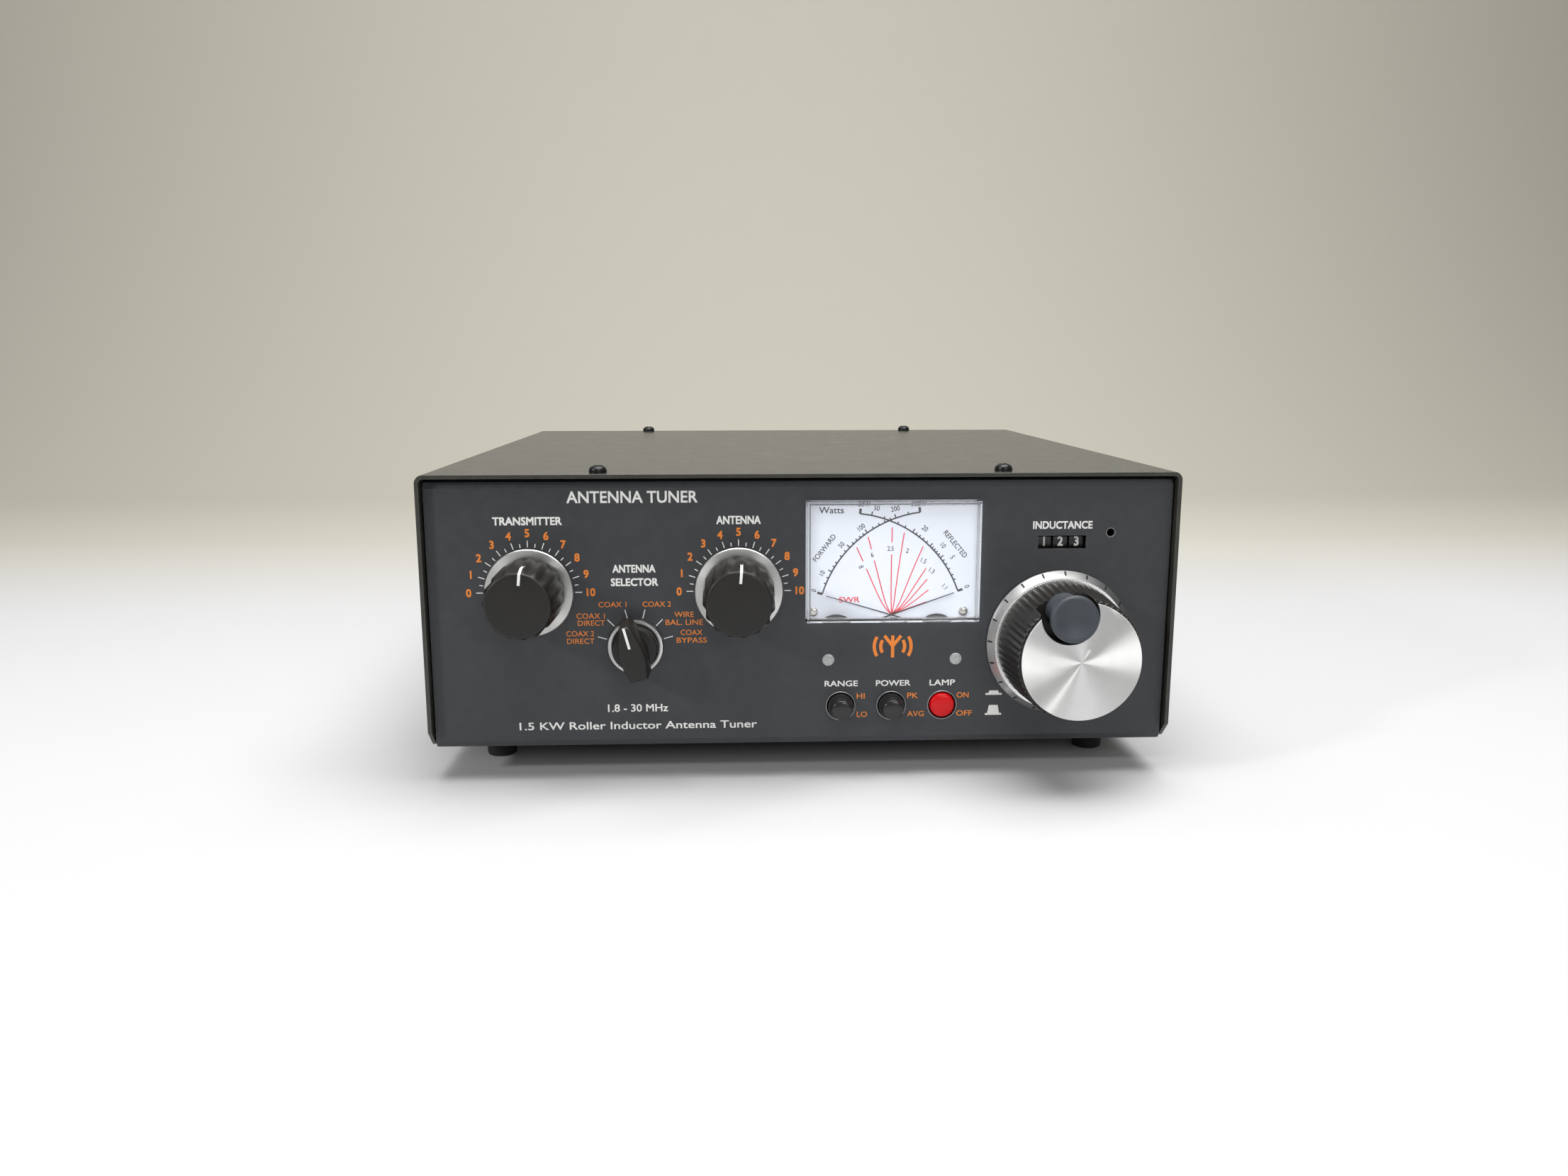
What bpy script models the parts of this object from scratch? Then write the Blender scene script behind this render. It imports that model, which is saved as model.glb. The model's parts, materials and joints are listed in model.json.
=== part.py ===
"""Roller-inductor antenna tuner: a T-network matching unit in a sheet-metal case.

The case is a folded chassis (front panel, floor and rear panel) under an
inverted-U cover. Two air-variable capacitors, a roller inductor with a turns
counter, a cross-needle power meter, an antenna selector switch and three push
switches stand behind the panel. Sockets and feed-through posts are on the rear.

All sizes are in millimetres; add_object turns them into metres. The front
faces -Y, +X is to the right seen from the front, and Z is 0 on the surface
that the rubber feet stand on.
"""
import math

import bmesh
import bpy
from mathutils import Matrix

MM = 0.001
GAP = 0.3                   # between pieces that touch
BORE_GAP = 0.4              # round a turning shaft

# Case
CASE_WIDTH = 273.0
COVER_HEIGHT = 99.8         # side's lower edge to the top
COVER_DEPTH = 276.0
SHEET = 1.5
BEND_RADIUS = 2.25          # to the middle of the sheet
PANEL_RECESS = 3.4          # panel's face behind the cover's front edge
PANEL_CLEARANCE = 0.6       # from the panel's ends and the flanges to the cover
FLANGE_DEPTH = 12.0
CHASSIS_DROP = 1.2          # chassis floor below the cover's sides
COVER_CORNER = 6.0          # cut off the lower corners of the cover's sides
FOOT_HEIGHT = 12.7
FOOT_RADIUS = 6.35
FOOT_X = 117.5
FOOT_FROM_FRONT = 38.5
SCREW_X = 73.0
SCREW_FROM_EDGE = 7.0
SCREW_HEAD_RADIUS = 3.2
SCREW_HEAD_HEIGHT = 2.6
SCREW_LENGTH = 8.0
SCREW_RADIUS = 1.5

# Front panel: each place is (right of the middle, above the cover's lower edge)
TRANSMITTER_AT = (-98.4, 57.1)
ANTENNA_AT = (-23.0, 57.1)
SELECTOR_AT = (-60.7, 36.9)
INDUCTOR_AT = (94.6, 37.1)
COUNTER_AT = (94.6, 74.15)
LAMP_HOLE_AT = (112.3, 77.6)
BUTTONS_AT = {"range_button": (14.3, 13.4), "power_button": (33.1, 13.4), "lamp_button": (52.0, 13.4)}
METER_AT = (33.0, 67.5)
FORWARD_PIVOT_AT = (48.3, 42.7)
REFLECTED_PIVOT_AT = (16.5, 41.4)

# Tuning knobs and their skirts
SHAFT_RADIUS = 3.175
SKIRT_STANDOFF = 0.6
SKIRT_THICKNESS = 1.2
SKIRT_RADIUS = 16.0
KNOB_BASE_RADIUS = 13.0
KNOB_FACE_RADIUS = 11.2
KNOB_SHOULDER = 3.5
KNOB_REACH = 25.5           # face in front of the panel
KNOB_FLUTES = 15
KNOB_FLUTE_DEPTH = 0.9
KNOB_BORE_DEPTH = 14.0

# Selector knob
SELECTOR_BASE_RADIUS = 8.2
SELECTOR_BASE_DEPTH = 6.0
SELECTOR_REACH = 17.0
SELECTOR_TIP = 11.5
SELECTOR_TAIL = 9.5
SELECTOR_REST_DEG = -15.0
SELECTOR_SHAFT_RADIUS = 3.0

# Inductor knob
DIAL_RADIUS = 26.8
DIAL_FRONT_RADIUS = 23.9
DIAL_DEPTH = 5.0
CRANK_BASE_RADIUS = 23.5
CRANK_FRONT_RADIUS = 21.9
CRANK_FLUTES = 20
CRANK_FLUTE_DEPTH = 0.8
CRANK_REACH = 31.4          # face in front of the panel
CRANK_FACE_RADIUS = 21.0
CRANK_FACE_THICKNESS = 1.6
POCKET_RADIUS = 10.0
POCKET_DEPTH = 10.0
SPINNER_OFFSET = 16.7
SPINNER_BEARING_DEG = 105.6
SPINNER_RADIUS = 8.3
SPINNER_PROUD = 6.0
SPINNER_AXLE_RADIUS = 2.5
SPINNER_AXLE_LENGTH = 6.0

# Push buttons and their switch bank
BUTTON_FRONT_RADIUS = 3.7
BUTTON_BASE_RADIUS = 4.7
BUTTON_HOLE_RADIUS = 5.2
BUTTON_REACH = 7.0
BUTTON_TRAVEL = 5.5
BUTTON_TAIL = 5.0
STEM_RADIUS = 1.8
BANK_HEIGHT = 12.0
BANK_DEPTH = 22.0
BANK_MARGIN = 7.0

# Meter
METER_WIDTH = 63.0
METER_HEIGHT = 44.2
METER_PROUD = 3.0
METER_WALL = 1.2
METER_CASE_DEPTH = 24.0
METER_CASE_DROP = 12.0      # case's lower wall below the window
METER_CASE_MARGIN = 2.5
DIAL_SETBACK = 3.8          # dial's face behind the panel's face
DIAL_THICKNESS = 0.8
NEEDLE_WIDTH = 0.5
NEEDLE_THICKNESS = 0.4
NEEDLE_HUB_RADIUS = 2.0
FORWARD_LENGTH = 41.5
REFLECTED_LENGTH = 42.0
FORWARD_ZERO_DEG = 163.2
REFLECTED_ZERO_DEG = 19.4
FORWARD_SETBACK = 1.9
REFLECTED_SETBACK = 2.8

# Turns counter
WHEEL_RADIUS = 8.0
WHEEL_PITCH = 5.95
WHEEL_GAP = 0.45
COUNTER_AXLE_RADIUS = 1.5
COUNTER_WALL = 3.0
WINDOW_WIDTH = 17.7
WINDOW_HEIGHT = 4.9
GEAR_TEETH = 20
GEAR_THICKNESS = 4.0
GEAR_ADDENDUM = 1.2
GEAR_DEDENDUM = 1.6
COUNTER_SHAFT_RADIUS = 2.0

# Roller inductor
DRUM_RADIUS = 21.0
COIL_RADIUS = 23.0
WIRE = 1.8
COIL_TURNS = 20
COIL_PITCH = 3.6
COIL_STEPS = 12             # flats in one turn
TURNS_AT_REST = 12.3        # turns wound in when the counter shows 123
COIL_END_ROOM = 5.0
DRUM_END_ROOM = 1.5
FRAME_FROM_GEAR = 10.0
FRAME_THICKNESS = 4.0
FRAME_HALF = 30.0
TIE_ROD_RADIUS = 2.5
CONTACT_RADIUS = 8.0
CONTACT_WIDTH = 4.0
CONTACT_ROD_RADIUS = 2.0
CONTACT_BEARING_DEG = -45.0  # clockwise from straight up

# Variable capacitors
ROTOR_RADIUS = 27.0
ROTOR_PLATES = 5
PLATE_THICKNESS = 1.2
PLATE_PITCH = 10.5
STATOR_HALF = 32.0
STATOR_ROD_RADIUS = 2.0
CAPACITOR_HALF = 33.0
CAPACITOR_TOP = 31.0
CAPACITOR_FROM_PANEL = 70.0

# Selector switch
WAFER_RADIUS = 20.0
WAFER_THICKNESS = 3.0
WAFER_SETBACKS = (25.0, 45.0)
ROTOR_DISC_RADIUS = 8.0
DETENT_RADIUS = 14.0
SWITCH_ROD_RADIUS = 1.8
SWITCH_ROD_OFFSET = 12.0

# Balun and power sensor: each place is (right of the middle, in front of the cover's rear edge)
BALUN_AT = (37.0, 86.0)
BALUN_RADIUS = 26.0
BALUN_HOLE_RADIUS = 14.0
BALUN_HEIGHT = 26.0
BOARD_AT = (-98.0, 54.0)
BOARD_SIZE = (62.0, 40.0, 1.6)
BOARD_STAND = 10.0
BOARD_LEG_RADIUS = 3.0

# Rear panel: each place is (right of the middle seen from the front, above the cover's lower edge)
SOCKETS_AT = {"transmitter_socket": (-98.0, 30.0), "bypass_socket": (-60.0, 30.0),
              "coax_1_socket": (-22.0, 30.0), "coax_2_socket": (16.0, 30.0)}
SOCKET_FLANGE = 25.4
SOCKET_FLANGE_THICKNESS = 1.6
SOCKET_RADIUS = 7.9
SOCKET_REACH = 12.0
SOCKET_INNER_RADIUS = 6.0
SOCKET_TAIL = 9.0
SOCKET_MOUTH_RADIUS = 5.6
SOCKET_MOUTH_DEPTH = 2.5
POSTS_AT = {"wire": (52.0, 66.0), "balanced_line_1": (80.0, 66.0), "balanced_line_2": (108.0, 66.0)}
INSULATOR_RADIUS = 10.0
INSULATOR_TIP_RADIUS = 6.0
INSULATOR_REACH = 16.0
INSULATOR_COLLAR = 6.5
POST_RADIUS = 2.4
POST_REACH = 25.7           # beyond the rear panel
POST_TAIL = 14.0
NUT_RADIUS = 5.5
NUT_LENGTH = 6.0
GROUND_AT = (112.0, 22.0)

# Places that follow from the sizes
FLOOR_UNDERSIDE = FOOT_HEIGHT + GAP
FLOOR_TOP = FLOOR_UNDERSIDE + SHEET
COVER_BOTTOM = FLOOR_UNDERSIDE + CHASSIS_DROP
COVER_TOP = COVER_BOTTOM + COVER_HEIGHT
CHASSIS_TOP = COVER_TOP - SHEET - PANEL_CLEARANCE
PANEL_HALF = CASE_WIDTH / 2 - SHEET - PANEL_CLEARANCE
SPINNER_REACH = CRANK_REACH + SPINNER_PROUD - PANEL_RECESS
POST_END = COVER_DEPTH - PANEL_RECESS + POST_REACH
COVER_FRONT = (SPINNER_REACH - POST_END) / 2
COVER_BACK = COVER_FRONT + COVER_DEPTH
PANEL = COVER_FRONT + PANEL_RECESS
PANEL_BACK = PANEL + SHEET
REAR = COVER_BACK - PANEL_RECESS
REAR_INSIDE = REAR - SHEET


def on_panel(at, y=PANEL):
    """The point of a panel place, given as (right, up from the cover's lower edge)."""
    return (at[0], y, COVER_BOTTOM + at[1])


def material(name, colour, roughness, metallic=0.0, alpha=1.0):
    made = bpy.data.materials.new(name)
    made.use_nodes = True
    shader = made.node_tree.nodes["Principled BSDF"]
    shader.inputs["Base Color"].default_value = (*colour, 1.0)
    shader.inputs["Roughness"].default_value = roughness
    shader.inputs["Metallic"].default_value = metallic
    shader.inputs["Alpha"].default_value = alpha
    return made


def add_object(name, bm, finish, at=(0.0, 0.0, 0.0), parent=None, smooth=False):
    """Makes an object from a mesh in millimetres, whose origin goes to the point at."""
    bmesh.ops.recalc_face_normals(bm, faces=bm.faces)
    bmesh.ops.scale(bm, vec=(MM, MM, MM), verts=bm.verts)
    mesh = bpy.data.meshes.new(name)
    bm.to_mesh(mesh)
    bm.free()
    if finish:
        mesh.materials.append(finish)
    if smooth:
        mesh.shade_smooth()
        mesh.set_sharp_from_angle(angle=math.radians(35))
    made = bpy.data.objects.new(name, mesh)
    bpy.context.scene.collection.objects.link(made)
    made.location = [value * MM for value in at]
    made.parent = parent
    return made


def add_axis(name, at):
    """An empty on a joint's axis, which the pieces that turn together hang from."""
    made = bpy.data.objects.new(name, None)
    bpy.context.scene.collection.objects.link(made)
    made.location = [value * MM for value in at]
    return made


def combine(target, operation, bm):
    """Cuts a mesh from an object or unites it, both in the object's own millimetres."""
    tool = add_object(f"{target.name}_{operation.lower()}", bm, None, parent=target.parent)
    tool.location = target.location
    tool.rotation_euler = target.rotation_euler
    tool.hide_render = True
    tool.display_type = "WIRE"
    step = target.modifiers.new(tool.name, "BOOLEAN")
    step.operation = operation
    step.solver = "EXACT"
    step.use_self = operation == "UNION"
    step.object = tool


def merged(*meshes):
    """One mesh that holds several bodies."""
    whole = bmesh.new()
    for piece in meshes:
        carrier = bpy.data.meshes.new("carrier")
        piece.to_mesh(carrier)
        piece.free()
        whole.from_mesh(carrier)
        bpy.data.meshes.remove(carrier)
    return whole


def moved(bm, x=0.0, y=0.0, z=0.0):
    bmesh.ops.translate(bm, vec=(x, y, z), verts=bm.verts)
    return bm


ALONG = {"X": Matrix.Rotation(math.pi / 2, 4, "Y"), "Y": Matrix.Rotation(-math.pi / 2, 4, "X"),
         "Z": Matrix.Identity(4)}


def turned(profile, steps, axis="Y", ring=False):
    """A turned piece from (radius, place along the axis); a ring's profile closes on itself."""
    bm = bmesh.new()
    circles = []
    for radius, along in profile:
        count = steps if radius > 0 else 1
        angles = [math.tau * step / steps for step in range(count)]
        circles.append([bm.verts.new((radius * math.cos(a), radius * math.sin(a), along)) for a in angles])
    pairs = list(zip(circles, circles[1:]))
    if ring:
        pairs.append((circles[-1], circles[0]))
    for near, far in pairs:
        for step in range(steps):
            after = (step + 1) % steps
            corners = [near[step % len(near)], near[after % len(near)],
                       far[after % len(far)], far[step % len(far)]]
            bm.faces.new(list(dict.fromkeys(corners)))
    bmesh.ops.transform(bm, matrix=ALONG[axis], verts=bm.verts)
    return bm


def rod(radius, low, high, steps=12, axis="Y"):
    return turned([(0, low), (radius, low), (radius, high), (0, high)], steps, axis)


def lofted(rings):
    """A solid through rings of equally many points, closed by a face at each end."""
    bm = bmesh.new()
    loops = [[bm.verts.new(point) for point in ring] for ring in rings]
    for near, far in zip(loops, loops[1:]):
        for index, corner in enumerate(near):
            after = (index + 1) % len(near)
            bm.faces.new((corner, near[after], far[after], far[index]))
    bm.faces.new(loops[0])
    bm.faces.new(loops[-1])
    return bm


def prism(outline, low, high, axis="Y"):
    """An outline across an axis, run along it: (x, z) for Y, (y, z) for X and (x, y) for Z."""
    place = {"X": lambda a, b, c: (c, a, b), "Y": lambda a, b, c: (a, c, b), "Z": lambda a, b, c: (a, b, c)}
    return lofted([[place[axis](a, b, along) for a, b in outline] for along in (low, high)])


def box(low, high):
    outline = [(low[0], low[2]), (high[0], low[2]), (high[0], high[2]), (low[0], high[2])]
    return prism(outline, low[1], high[1])


def folded(path, thickness, bend, steps=2):
    """The outline of a sheet folded along a path of straight runs, with round bends."""
    left, right = [], []
    half = thickness / 2
    for index, point in enumerate(path):
        before = path[max(index - 1, 0)]
        after = path[min(index + 1, len(path) - 1)]
        if index in (0, len(path) - 1):
            run = math.atan2(after[1] - before[1], after[0] - before[0])
            left.append((point[0] - half * math.sin(run), point[1] + half * math.cos(run)))
            right.append((point[0] + half * math.sin(run), point[1] - half * math.cos(run)))
            continue
        arrive = math.atan2(point[1] - before[1], point[0] - before[0])
        turn = math.remainder(math.atan2(after[1] - point[1], after[0] - point[0]) - arrive, math.tau)
        side = math.copysign(1, turn)
        start = (point[0] - bend * math.cos(arrive), point[1] - bend * math.sin(arrive))
        centre = (start[0] - side * bend * math.sin(arrive), start[1] + side * bend * math.cos(arrive))
        for step in range(steps + 1):
            angle = arrive + turn * step / steps
            out = (side * math.sin(angle), -side * math.cos(angle))
            left.append((centre[0] + out[0] * (bend - side * half), centre[1] + out[1] * (bend - side * half)))
            right.append((centre[0] + out[0] * (bend + side * half), centre[1] + out[1] * (bend + side * half)))
    return left + right[::-1]


def fluted(radius, depth, flutes, y, steps=4):
    """One ring of a knob whose side has round flutes."""
    ring = []
    for index in range(flutes * steps):
        angle = math.tau * index / (flutes * steps)
        reach = radius - depth * (0.5 - 0.5 * math.cos(flutes * angle))
        ring.append((reach * math.cos(angle), y, reach * math.sin(angle)))
    return ring


for old in list(bpy.data.objects):
    bpy.data.objects.remove(old, do_unlink=True)

BLACK_COAT = material("black_textured_coat", (0.028, 0.027, 0.025), 0.6)
PANEL_PAINT = material("charcoal_panel_paint", (0.055, 0.062, 0.072), 0.5)
BLACK_PLASTIC = material("black_plastic", (0.022, 0.02, 0.018), 0.45)
RED_PLASTIC = material("red_plastic", (0.68, 0.02, 0.02), 0.35)
SATIN = material("satin_aluminium", (0.72, 0.72, 0.71), 0.35, 1.0)
NICKEL = material("nickel_plate", (0.66, 0.64, 0.6), 0.25, 1.0)
BLACK_SCREW = material("black_oxide_steel", (0.03, 0.03, 0.03), 0.35, 0.8)
RUBBER = material("black_rubber", (0.02, 0.02, 0.02), 0.8)
FINGER_RUBBER = material("grey_rubber", (0.05, 0.055, 0.07), 0.6)
CLEAR = material("clear_plastic", (0.95, 0.97, 1.0), 0.05, 0.0, 0.3)
DIAL_CARD = material("white_dial_card", (0.86, 0.89, 0.95), 0.6)
WHEEL_PLASTIC = material("black_wheel_plastic", (0.02, 0.02, 0.02), 0.5)
NYLON = material("white_nylon", (0.75, 0.74, 0.68), 0.5)
CERAMIC = material("glazed_ceramic", (0.82, 0.8, 0.74), 0.2)
COPPER = material("silvered_copper", (0.75, 0.6, 0.5), 0.25, 1.0)
FERRITE = material("grey_ferrite", (0.09, 0.09, 0.1), 0.6)
BOARD = material("green_board", (0.03, 0.16, 0.07), 0.5)


def folded_case():
    """The chassis with its holes, and the cover over it."""
    half = SHEET / 2
    front, back = PANEL + half, REAR - half
    low, top = FLOOR_UNDERSIDE + half, CHASSIS_TOP - half
    path = [(PANEL + FLANGE_DEPTH, top), (front, top), (front, low),
            (back, low), (back, top), (REAR - FLANGE_DEPTH, top)]
    chassis = add_object("chassis", prism(folded(path, SHEET, BEND_RADIUS), -PANEL_HALF, PANEL_HALF, "X"),
                         PANEL_PAINT)
    across = (PANEL - 5.0, PANEL_BACK + 5.0)
    shaft_hole = SHAFT_RADIUS + BORE_GAP
    holes = [moved(rod(radius, *across, 12), at[0], 0.0, COVER_BOTTOM + at[1]) for at, radius in (
        (TRANSMITTER_AT, shaft_hole), (ANTENNA_AT, shaft_hole), (INDUCTOR_AT, shaft_hole),
        (SELECTOR_AT, SELECTOR_SHAFT_RADIUS + BORE_GAP), (LAMP_HOLE_AT, 1.5))]
    holes += [moved(rod(BUTTON_HOLE_RADIUS, *across, 16), at[0], 0.0, COVER_BOTTOM + at[1])
              for at in BUTTONS_AT.values()]
    for at, width, height in ((METER_AT, METER_WIDTH + 2 * GAP, METER_HEIGHT + 2 * GAP),
                              (COUNTER_AT, WINDOW_WIDTH, WINDOW_HEIGHT)):
        x, _, z = on_panel(at)
        holes.append(box((x - width / 2, across[0], z - height / 2), (x + width / 2, across[1], z + height / 2)))
    through = (REAR_INSIDE - 4.0, REAR + 4.0)
    for places, radius in ((SOCKETS_AT, SOCKET_INNER_RADIUS + GAP), (POSTS_AT, INSULATOR_COLLAR + GAP),
                           ({"ground": GROUND_AT}, POST_RADIUS + GAP)):
        holes += [moved(rod(radius, *through, 12), at[0], 0.0, COVER_BOTTOM + at[1]) for at in places.values()]
    for x in (-FOOT_X, FOOT_X):
        for y in (COVER_FRONT + FOOT_FROM_FRONT, COVER_BACK - FOOT_FROM_FRONT):
            holes.append(moved(rod(2.5, FLOOR_UNDERSIDE - 3.0, FLOOR_TOP + 3.0, 8, "Z"), x, y))
    for x in (-SCREW_X, SCREW_X):
        for y in (COVER_FRONT + SCREW_FROM_EDGE, COVER_BACK - SCREW_FROM_EDGE):
            holes.append(moved(rod(SCREW_RADIUS + BORE_GAP, CHASSIS_TOP - 5.0, CHASSIS_TOP + 0.2, 8, "Z"), x, y))
    combine(chassis, "DIFFERENCE", merged(*holes))

    side, top = CASE_WIDTH / 2 - half, COVER_TOP - half
    path = [(-side, COVER_BOTTOM), (-side, top), (side, top), (side, COVER_BOTTOM)]
    cover = add_object("top_cover", prism(folded(path, SHEET, BEND_RADIUS), COVER_FRONT, COVER_BACK),
                       BLACK_COAT)
    cuts = []
    for edge, inward in ((COVER_FRONT, 1.0), (COVER_BACK, -1.0)):
        outside = edge - inward
        wedge = [(outside, COVER_BOTTOM - 1.0), (edge + inward * (COVER_CORNER + 1.0), COVER_BOTTOM - 1.0),
                 (outside, COVER_BOTTOM + COVER_CORNER + 1.0)]
        cuts.append(prism(wedge, -CASE_WIDTH, CASE_WIDTH, "X"))
    for x in (-SCREW_X, SCREW_X):
        for y in (COVER_FRONT + SCREW_FROM_EDGE, COVER_BACK - SCREW_FROM_EDGE):
            cuts.append(moved(rod(SCREW_RADIUS + BORE_GAP, COVER_TOP - 3.0, COVER_TOP + 3.0, 8, "Z"), x, y))
    combine(cover, "DIFFERENCE", merged(*cuts))


def feet_and_screws():
    number = 1
    for y_foot, y_screw in ((COVER_FRONT + FOOT_FROM_FRONT, COVER_FRONT + SCREW_FROM_EDGE),
                            (COVER_BACK - FOOT_FROM_FRONT, COVER_BACK - SCREW_FROM_EDGE)):
        for side in (-1, 1):
            foot = [(0, 0), (FOOT_RADIUS - 0.9, 0), (FOOT_RADIUS - 0.4, 1.0), (FOOT_RADIUS, FOOT_HEIGHT),
                    (2.0, FOOT_HEIGHT), (2.0, FLOOR_TOP + 2.0), (0, FLOOR_TOP + 2.0)]
            add_object(f"foot_{number}", turned(foot, 12, "Z"), RUBBER, (side * FOOT_X, y_foot, 0.0), smooth=True)
            rise = SCREW_HEAD_HEIGHT
            screw = [(0, -SCREW_LENGTH), (SCREW_RADIUS, -SCREW_LENGTH), (SCREW_RADIUS, 0),
                     (SCREW_HEAD_RADIUS, 0), (SCREW_HEAD_RADIUS, 0.45 * rise), (0.72 * SCREW_HEAD_RADIUS, 0.85 * rise),
                     (0, rise)]
            add_object(f"cover_screw_{number}", turned(screw, 10, "Z"), BLACK_SCREW,
                       (side * SCREW_X, y_screw, COVER_TOP + GAP), smooth=True)
            number += 1


def tuning_knob(name, axis):
    """A fluted knob and the aluminium skirt behind it, on a tuning shaft."""
    back = SKIRT_STANDOFF + SKIRT_THICKNESS
    hole = SHAFT_RADIUS + GAP
    skirt = [(hole, -SKIRT_STANDOFF), (SKIRT_RADIUS, -SKIRT_STANDOFF), (SKIRT_RADIUS, -back), (hole, -back)]
    add_object(f"{name}_skirt", turned(skirt, 24, ring=True), SATIN, parent=axis, smooth=True)
    rings = [fluted(KNOB_BASE_RADIUS, KNOB_FLUTE_DEPTH, KNOB_FLUTES, -back - GAP),
             fluted(KNOB_BASE_RADIUS - 0.4, KNOB_FLUTE_DEPTH, KNOB_FLUTES, KNOB_SHOULDER - KNOB_REACH),
             fluted(KNOB_FACE_RADIUS, 0.0, KNOB_FLUTES, -KNOB_REACH)]
    knob = add_object(f"{name}_knob", lofted(rings), BLACK_PLASTIC, parent=axis, smooth=True)
    combine(knob, "DIFFERENCE", rod(hole, -back - KNOB_BORE_DEPTH, 0.0, 16))


def capacitor(name, at):
    """An air-variable capacitor: rotor on the tuning shaft, stator and end plates."""
    axis = add_axis(f"{name}_axis", on_panel(at))
    tuning_knob(name, axis)
    first = CAPACITOR_FROM_PANEL
    inside = first + FRAME_THICKNESS
    length = (ROTOR_PLATES + 1) * PLATE_PITCH
    last = inside + length + FRAME_THICKNESS
    front = -(SKIRT_STANDOFF + SKIRT_THICKNESS + KNOB_BORE_DEPTH - 1.0)
    rotor = add_object(f"{name}_capacitor_rotor", rod(SHAFT_RADIUS, front, last + 2.0), SATIN, parent=axis)
    half_disc = [(ROTOR_RADIUS * math.sin(a), -ROTOR_RADIUS * math.cos(a))
                 for a in (math.pi * step / 8 for step in range(9))]
    half_disc += [(-5.0, 5.0), (-5.0, -5.0)]
    plates = []
    for index in range(ROTOR_PLATES):
        y = inside + (index + 1) * PLATE_PITCH
        plates.append(prism(half_disc, y - PLATE_THICKNESS / 2, y + PLATE_THICKNESS / 2))
    combine(rotor, "UNION", merged(*plates))

    reach = STATOR_ROD_RADIUS
    rods = [moved(rod(STATOR_ROD_RADIUS, inside + GAP, inside + length - GAP, 8), side * (STATOR_HALF - reach), 0, -16.0)
            for side in (-1, 1)]
    stator = add_object(f"{name}_capacitor_stator", rods[0], SATIN, on_panel(at))
    notch = [(-7.0 * math.cos(a), -7.0 * math.sin(a)) for a in (math.pi * step / 4 for step in range(5))]
    outline = [(STATOR_HALF, 0.0), (STATOR_HALF, -STATOR_HALF), (-STATOR_HALF, -STATOR_HALF),
               (-STATOR_HALF, 0.0)] + notch
    plates = [rods[1]]
    for index in range(ROTOR_PLATES + 1):
        y = inside + (index + 0.5) * PLATE_PITCH
        plates.append(prism(outline, y - PLATE_THICKNESS / 2, y + PLATE_THICKNESS / 2))
    combine(stator, "UNION", merged(*plates))

    x, y, z = on_panel(at)
    low, high = FLOOR_TOP + GAP, z + CAPACITOR_TOP
    ends = [box((x - CAPACITOR_HALF, y + start, low), (x + CAPACITOR_HALF, y + start + FRAME_THICKNESS, high))
            for start in (first, inside + length)]
    frame = add_object(f"{name}_capacitor_frame", ends[0], CERAMIC)
    tie_x = CAPACITOR_HALF - TIE_ROD_RADIUS - 0.5
    ties = [moved(rod(TIE_ROD_RADIUS, y + first + 1.0, y + last - 1.0, 8), x + side * tie_x, 0.0, high - 4.0)
            for side in (-1, 1)]
    combine(frame, "UNION", merged(ends[1], *ties))
    combine(frame, "DIFFERENCE", moved(rod(SHAFT_RADIUS + BORE_GAP, y + first - 5.0, y + last + 5.0, 16), x, 0.0, z))


def selector():
    """The antenna selector: pointer knob, shaft with two rotor discs, and the wafers round them."""
    axis = add_axis("selector_axis", on_panel(SELECTOR_AT))
    axis.rotation_euler = (0.0, math.radians(SELECTOR_REST_DEG), 0.0)
    base = turned([(0, -SKIRT_STANDOFF), (SELECTOR_BASE_RADIUS, -SKIRT_STANDOFF),
                   (SELECTOR_BASE_RADIUS, -SELECTOR_BASE_DEPTH), (0, -SELECTOR_BASE_DEPTH)], 32)
    knob = add_object("selector_knob", base, BLACK_PLASTIC, parent=axis, smooth=True)
    handle = [(-3.75, -SELECTOR_TAIL), (3.75, -SELECTOR_TAIL), (5.0, -2.0), (4.6, 3.0), (2.1, SELECTOR_TIP),
              (-2.1, SELECTOR_TIP), (-4.6, 3.0), (-5.0, -2.0)]
    combine(knob, "UNION", prism(handle, -SELECTOR_REACH, -SELECTOR_BASE_DEPTH + 2.0))
    depth = SELECTOR_REACH - 4.0
    combine(knob, "DIFFERENCE", rod(SELECTOR_SHAFT_RADIUS + GAP, -depth, 5.0, 16))
    half = WAFER_THICKNESS / 2
    shaft = SELECTOR_SHAFT_RADIUS
    profile = [(0, -depth + 1.0), (shaft, -depth + 1.0)]
    for setback in WAFER_SETBACKS:
        profile += [(shaft, setback - half), (ROTOR_DISC_RADIUS, setback - half),
                    (ROTOR_DISC_RADIUS, setback + half), (shaft, setback + half)]
    end = WAFER_SETBACKS[-1] + 6.0
    profile += [(shaft, end), (0, end)]
    add_object("selector_rotor", turned(profile, 12), NYLON, parent=axis, smooth=True)

    start = SHEET + GAP
    hole = shaft + BORE_GAP
    detent = [(hole, start), (DETENT_RADIUS, start), (DETENT_RADIUS, start + 2.0), (hole, start + 2.0)]
    stack = add_object("selector_wafers", turned(detent, 16, ring=True), CERAMIC, on_panel(SELECTOR_AT))
    hole = ROTOR_DISC_RADIUS + BORE_GAP + 0.3
    pieces = []
    for setback in WAFER_SETBACKS:
        ring = [(hole, setback - half), (WAFER_RADIUS, setback - half),
                (WAFER_RADIUS, setback + half), (hole, setback + half)]
        pieces.append(turned(ring, 16, ring=True))
    for side in (-1, 1):
        pieces.append(moved(rod(SWITCH_ROD_RADIUS, start + 0.5, end, 8), side * SWITCH_ROD_OFFSET))
    combine(stack, "UNION", merged(*pieces))


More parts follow.
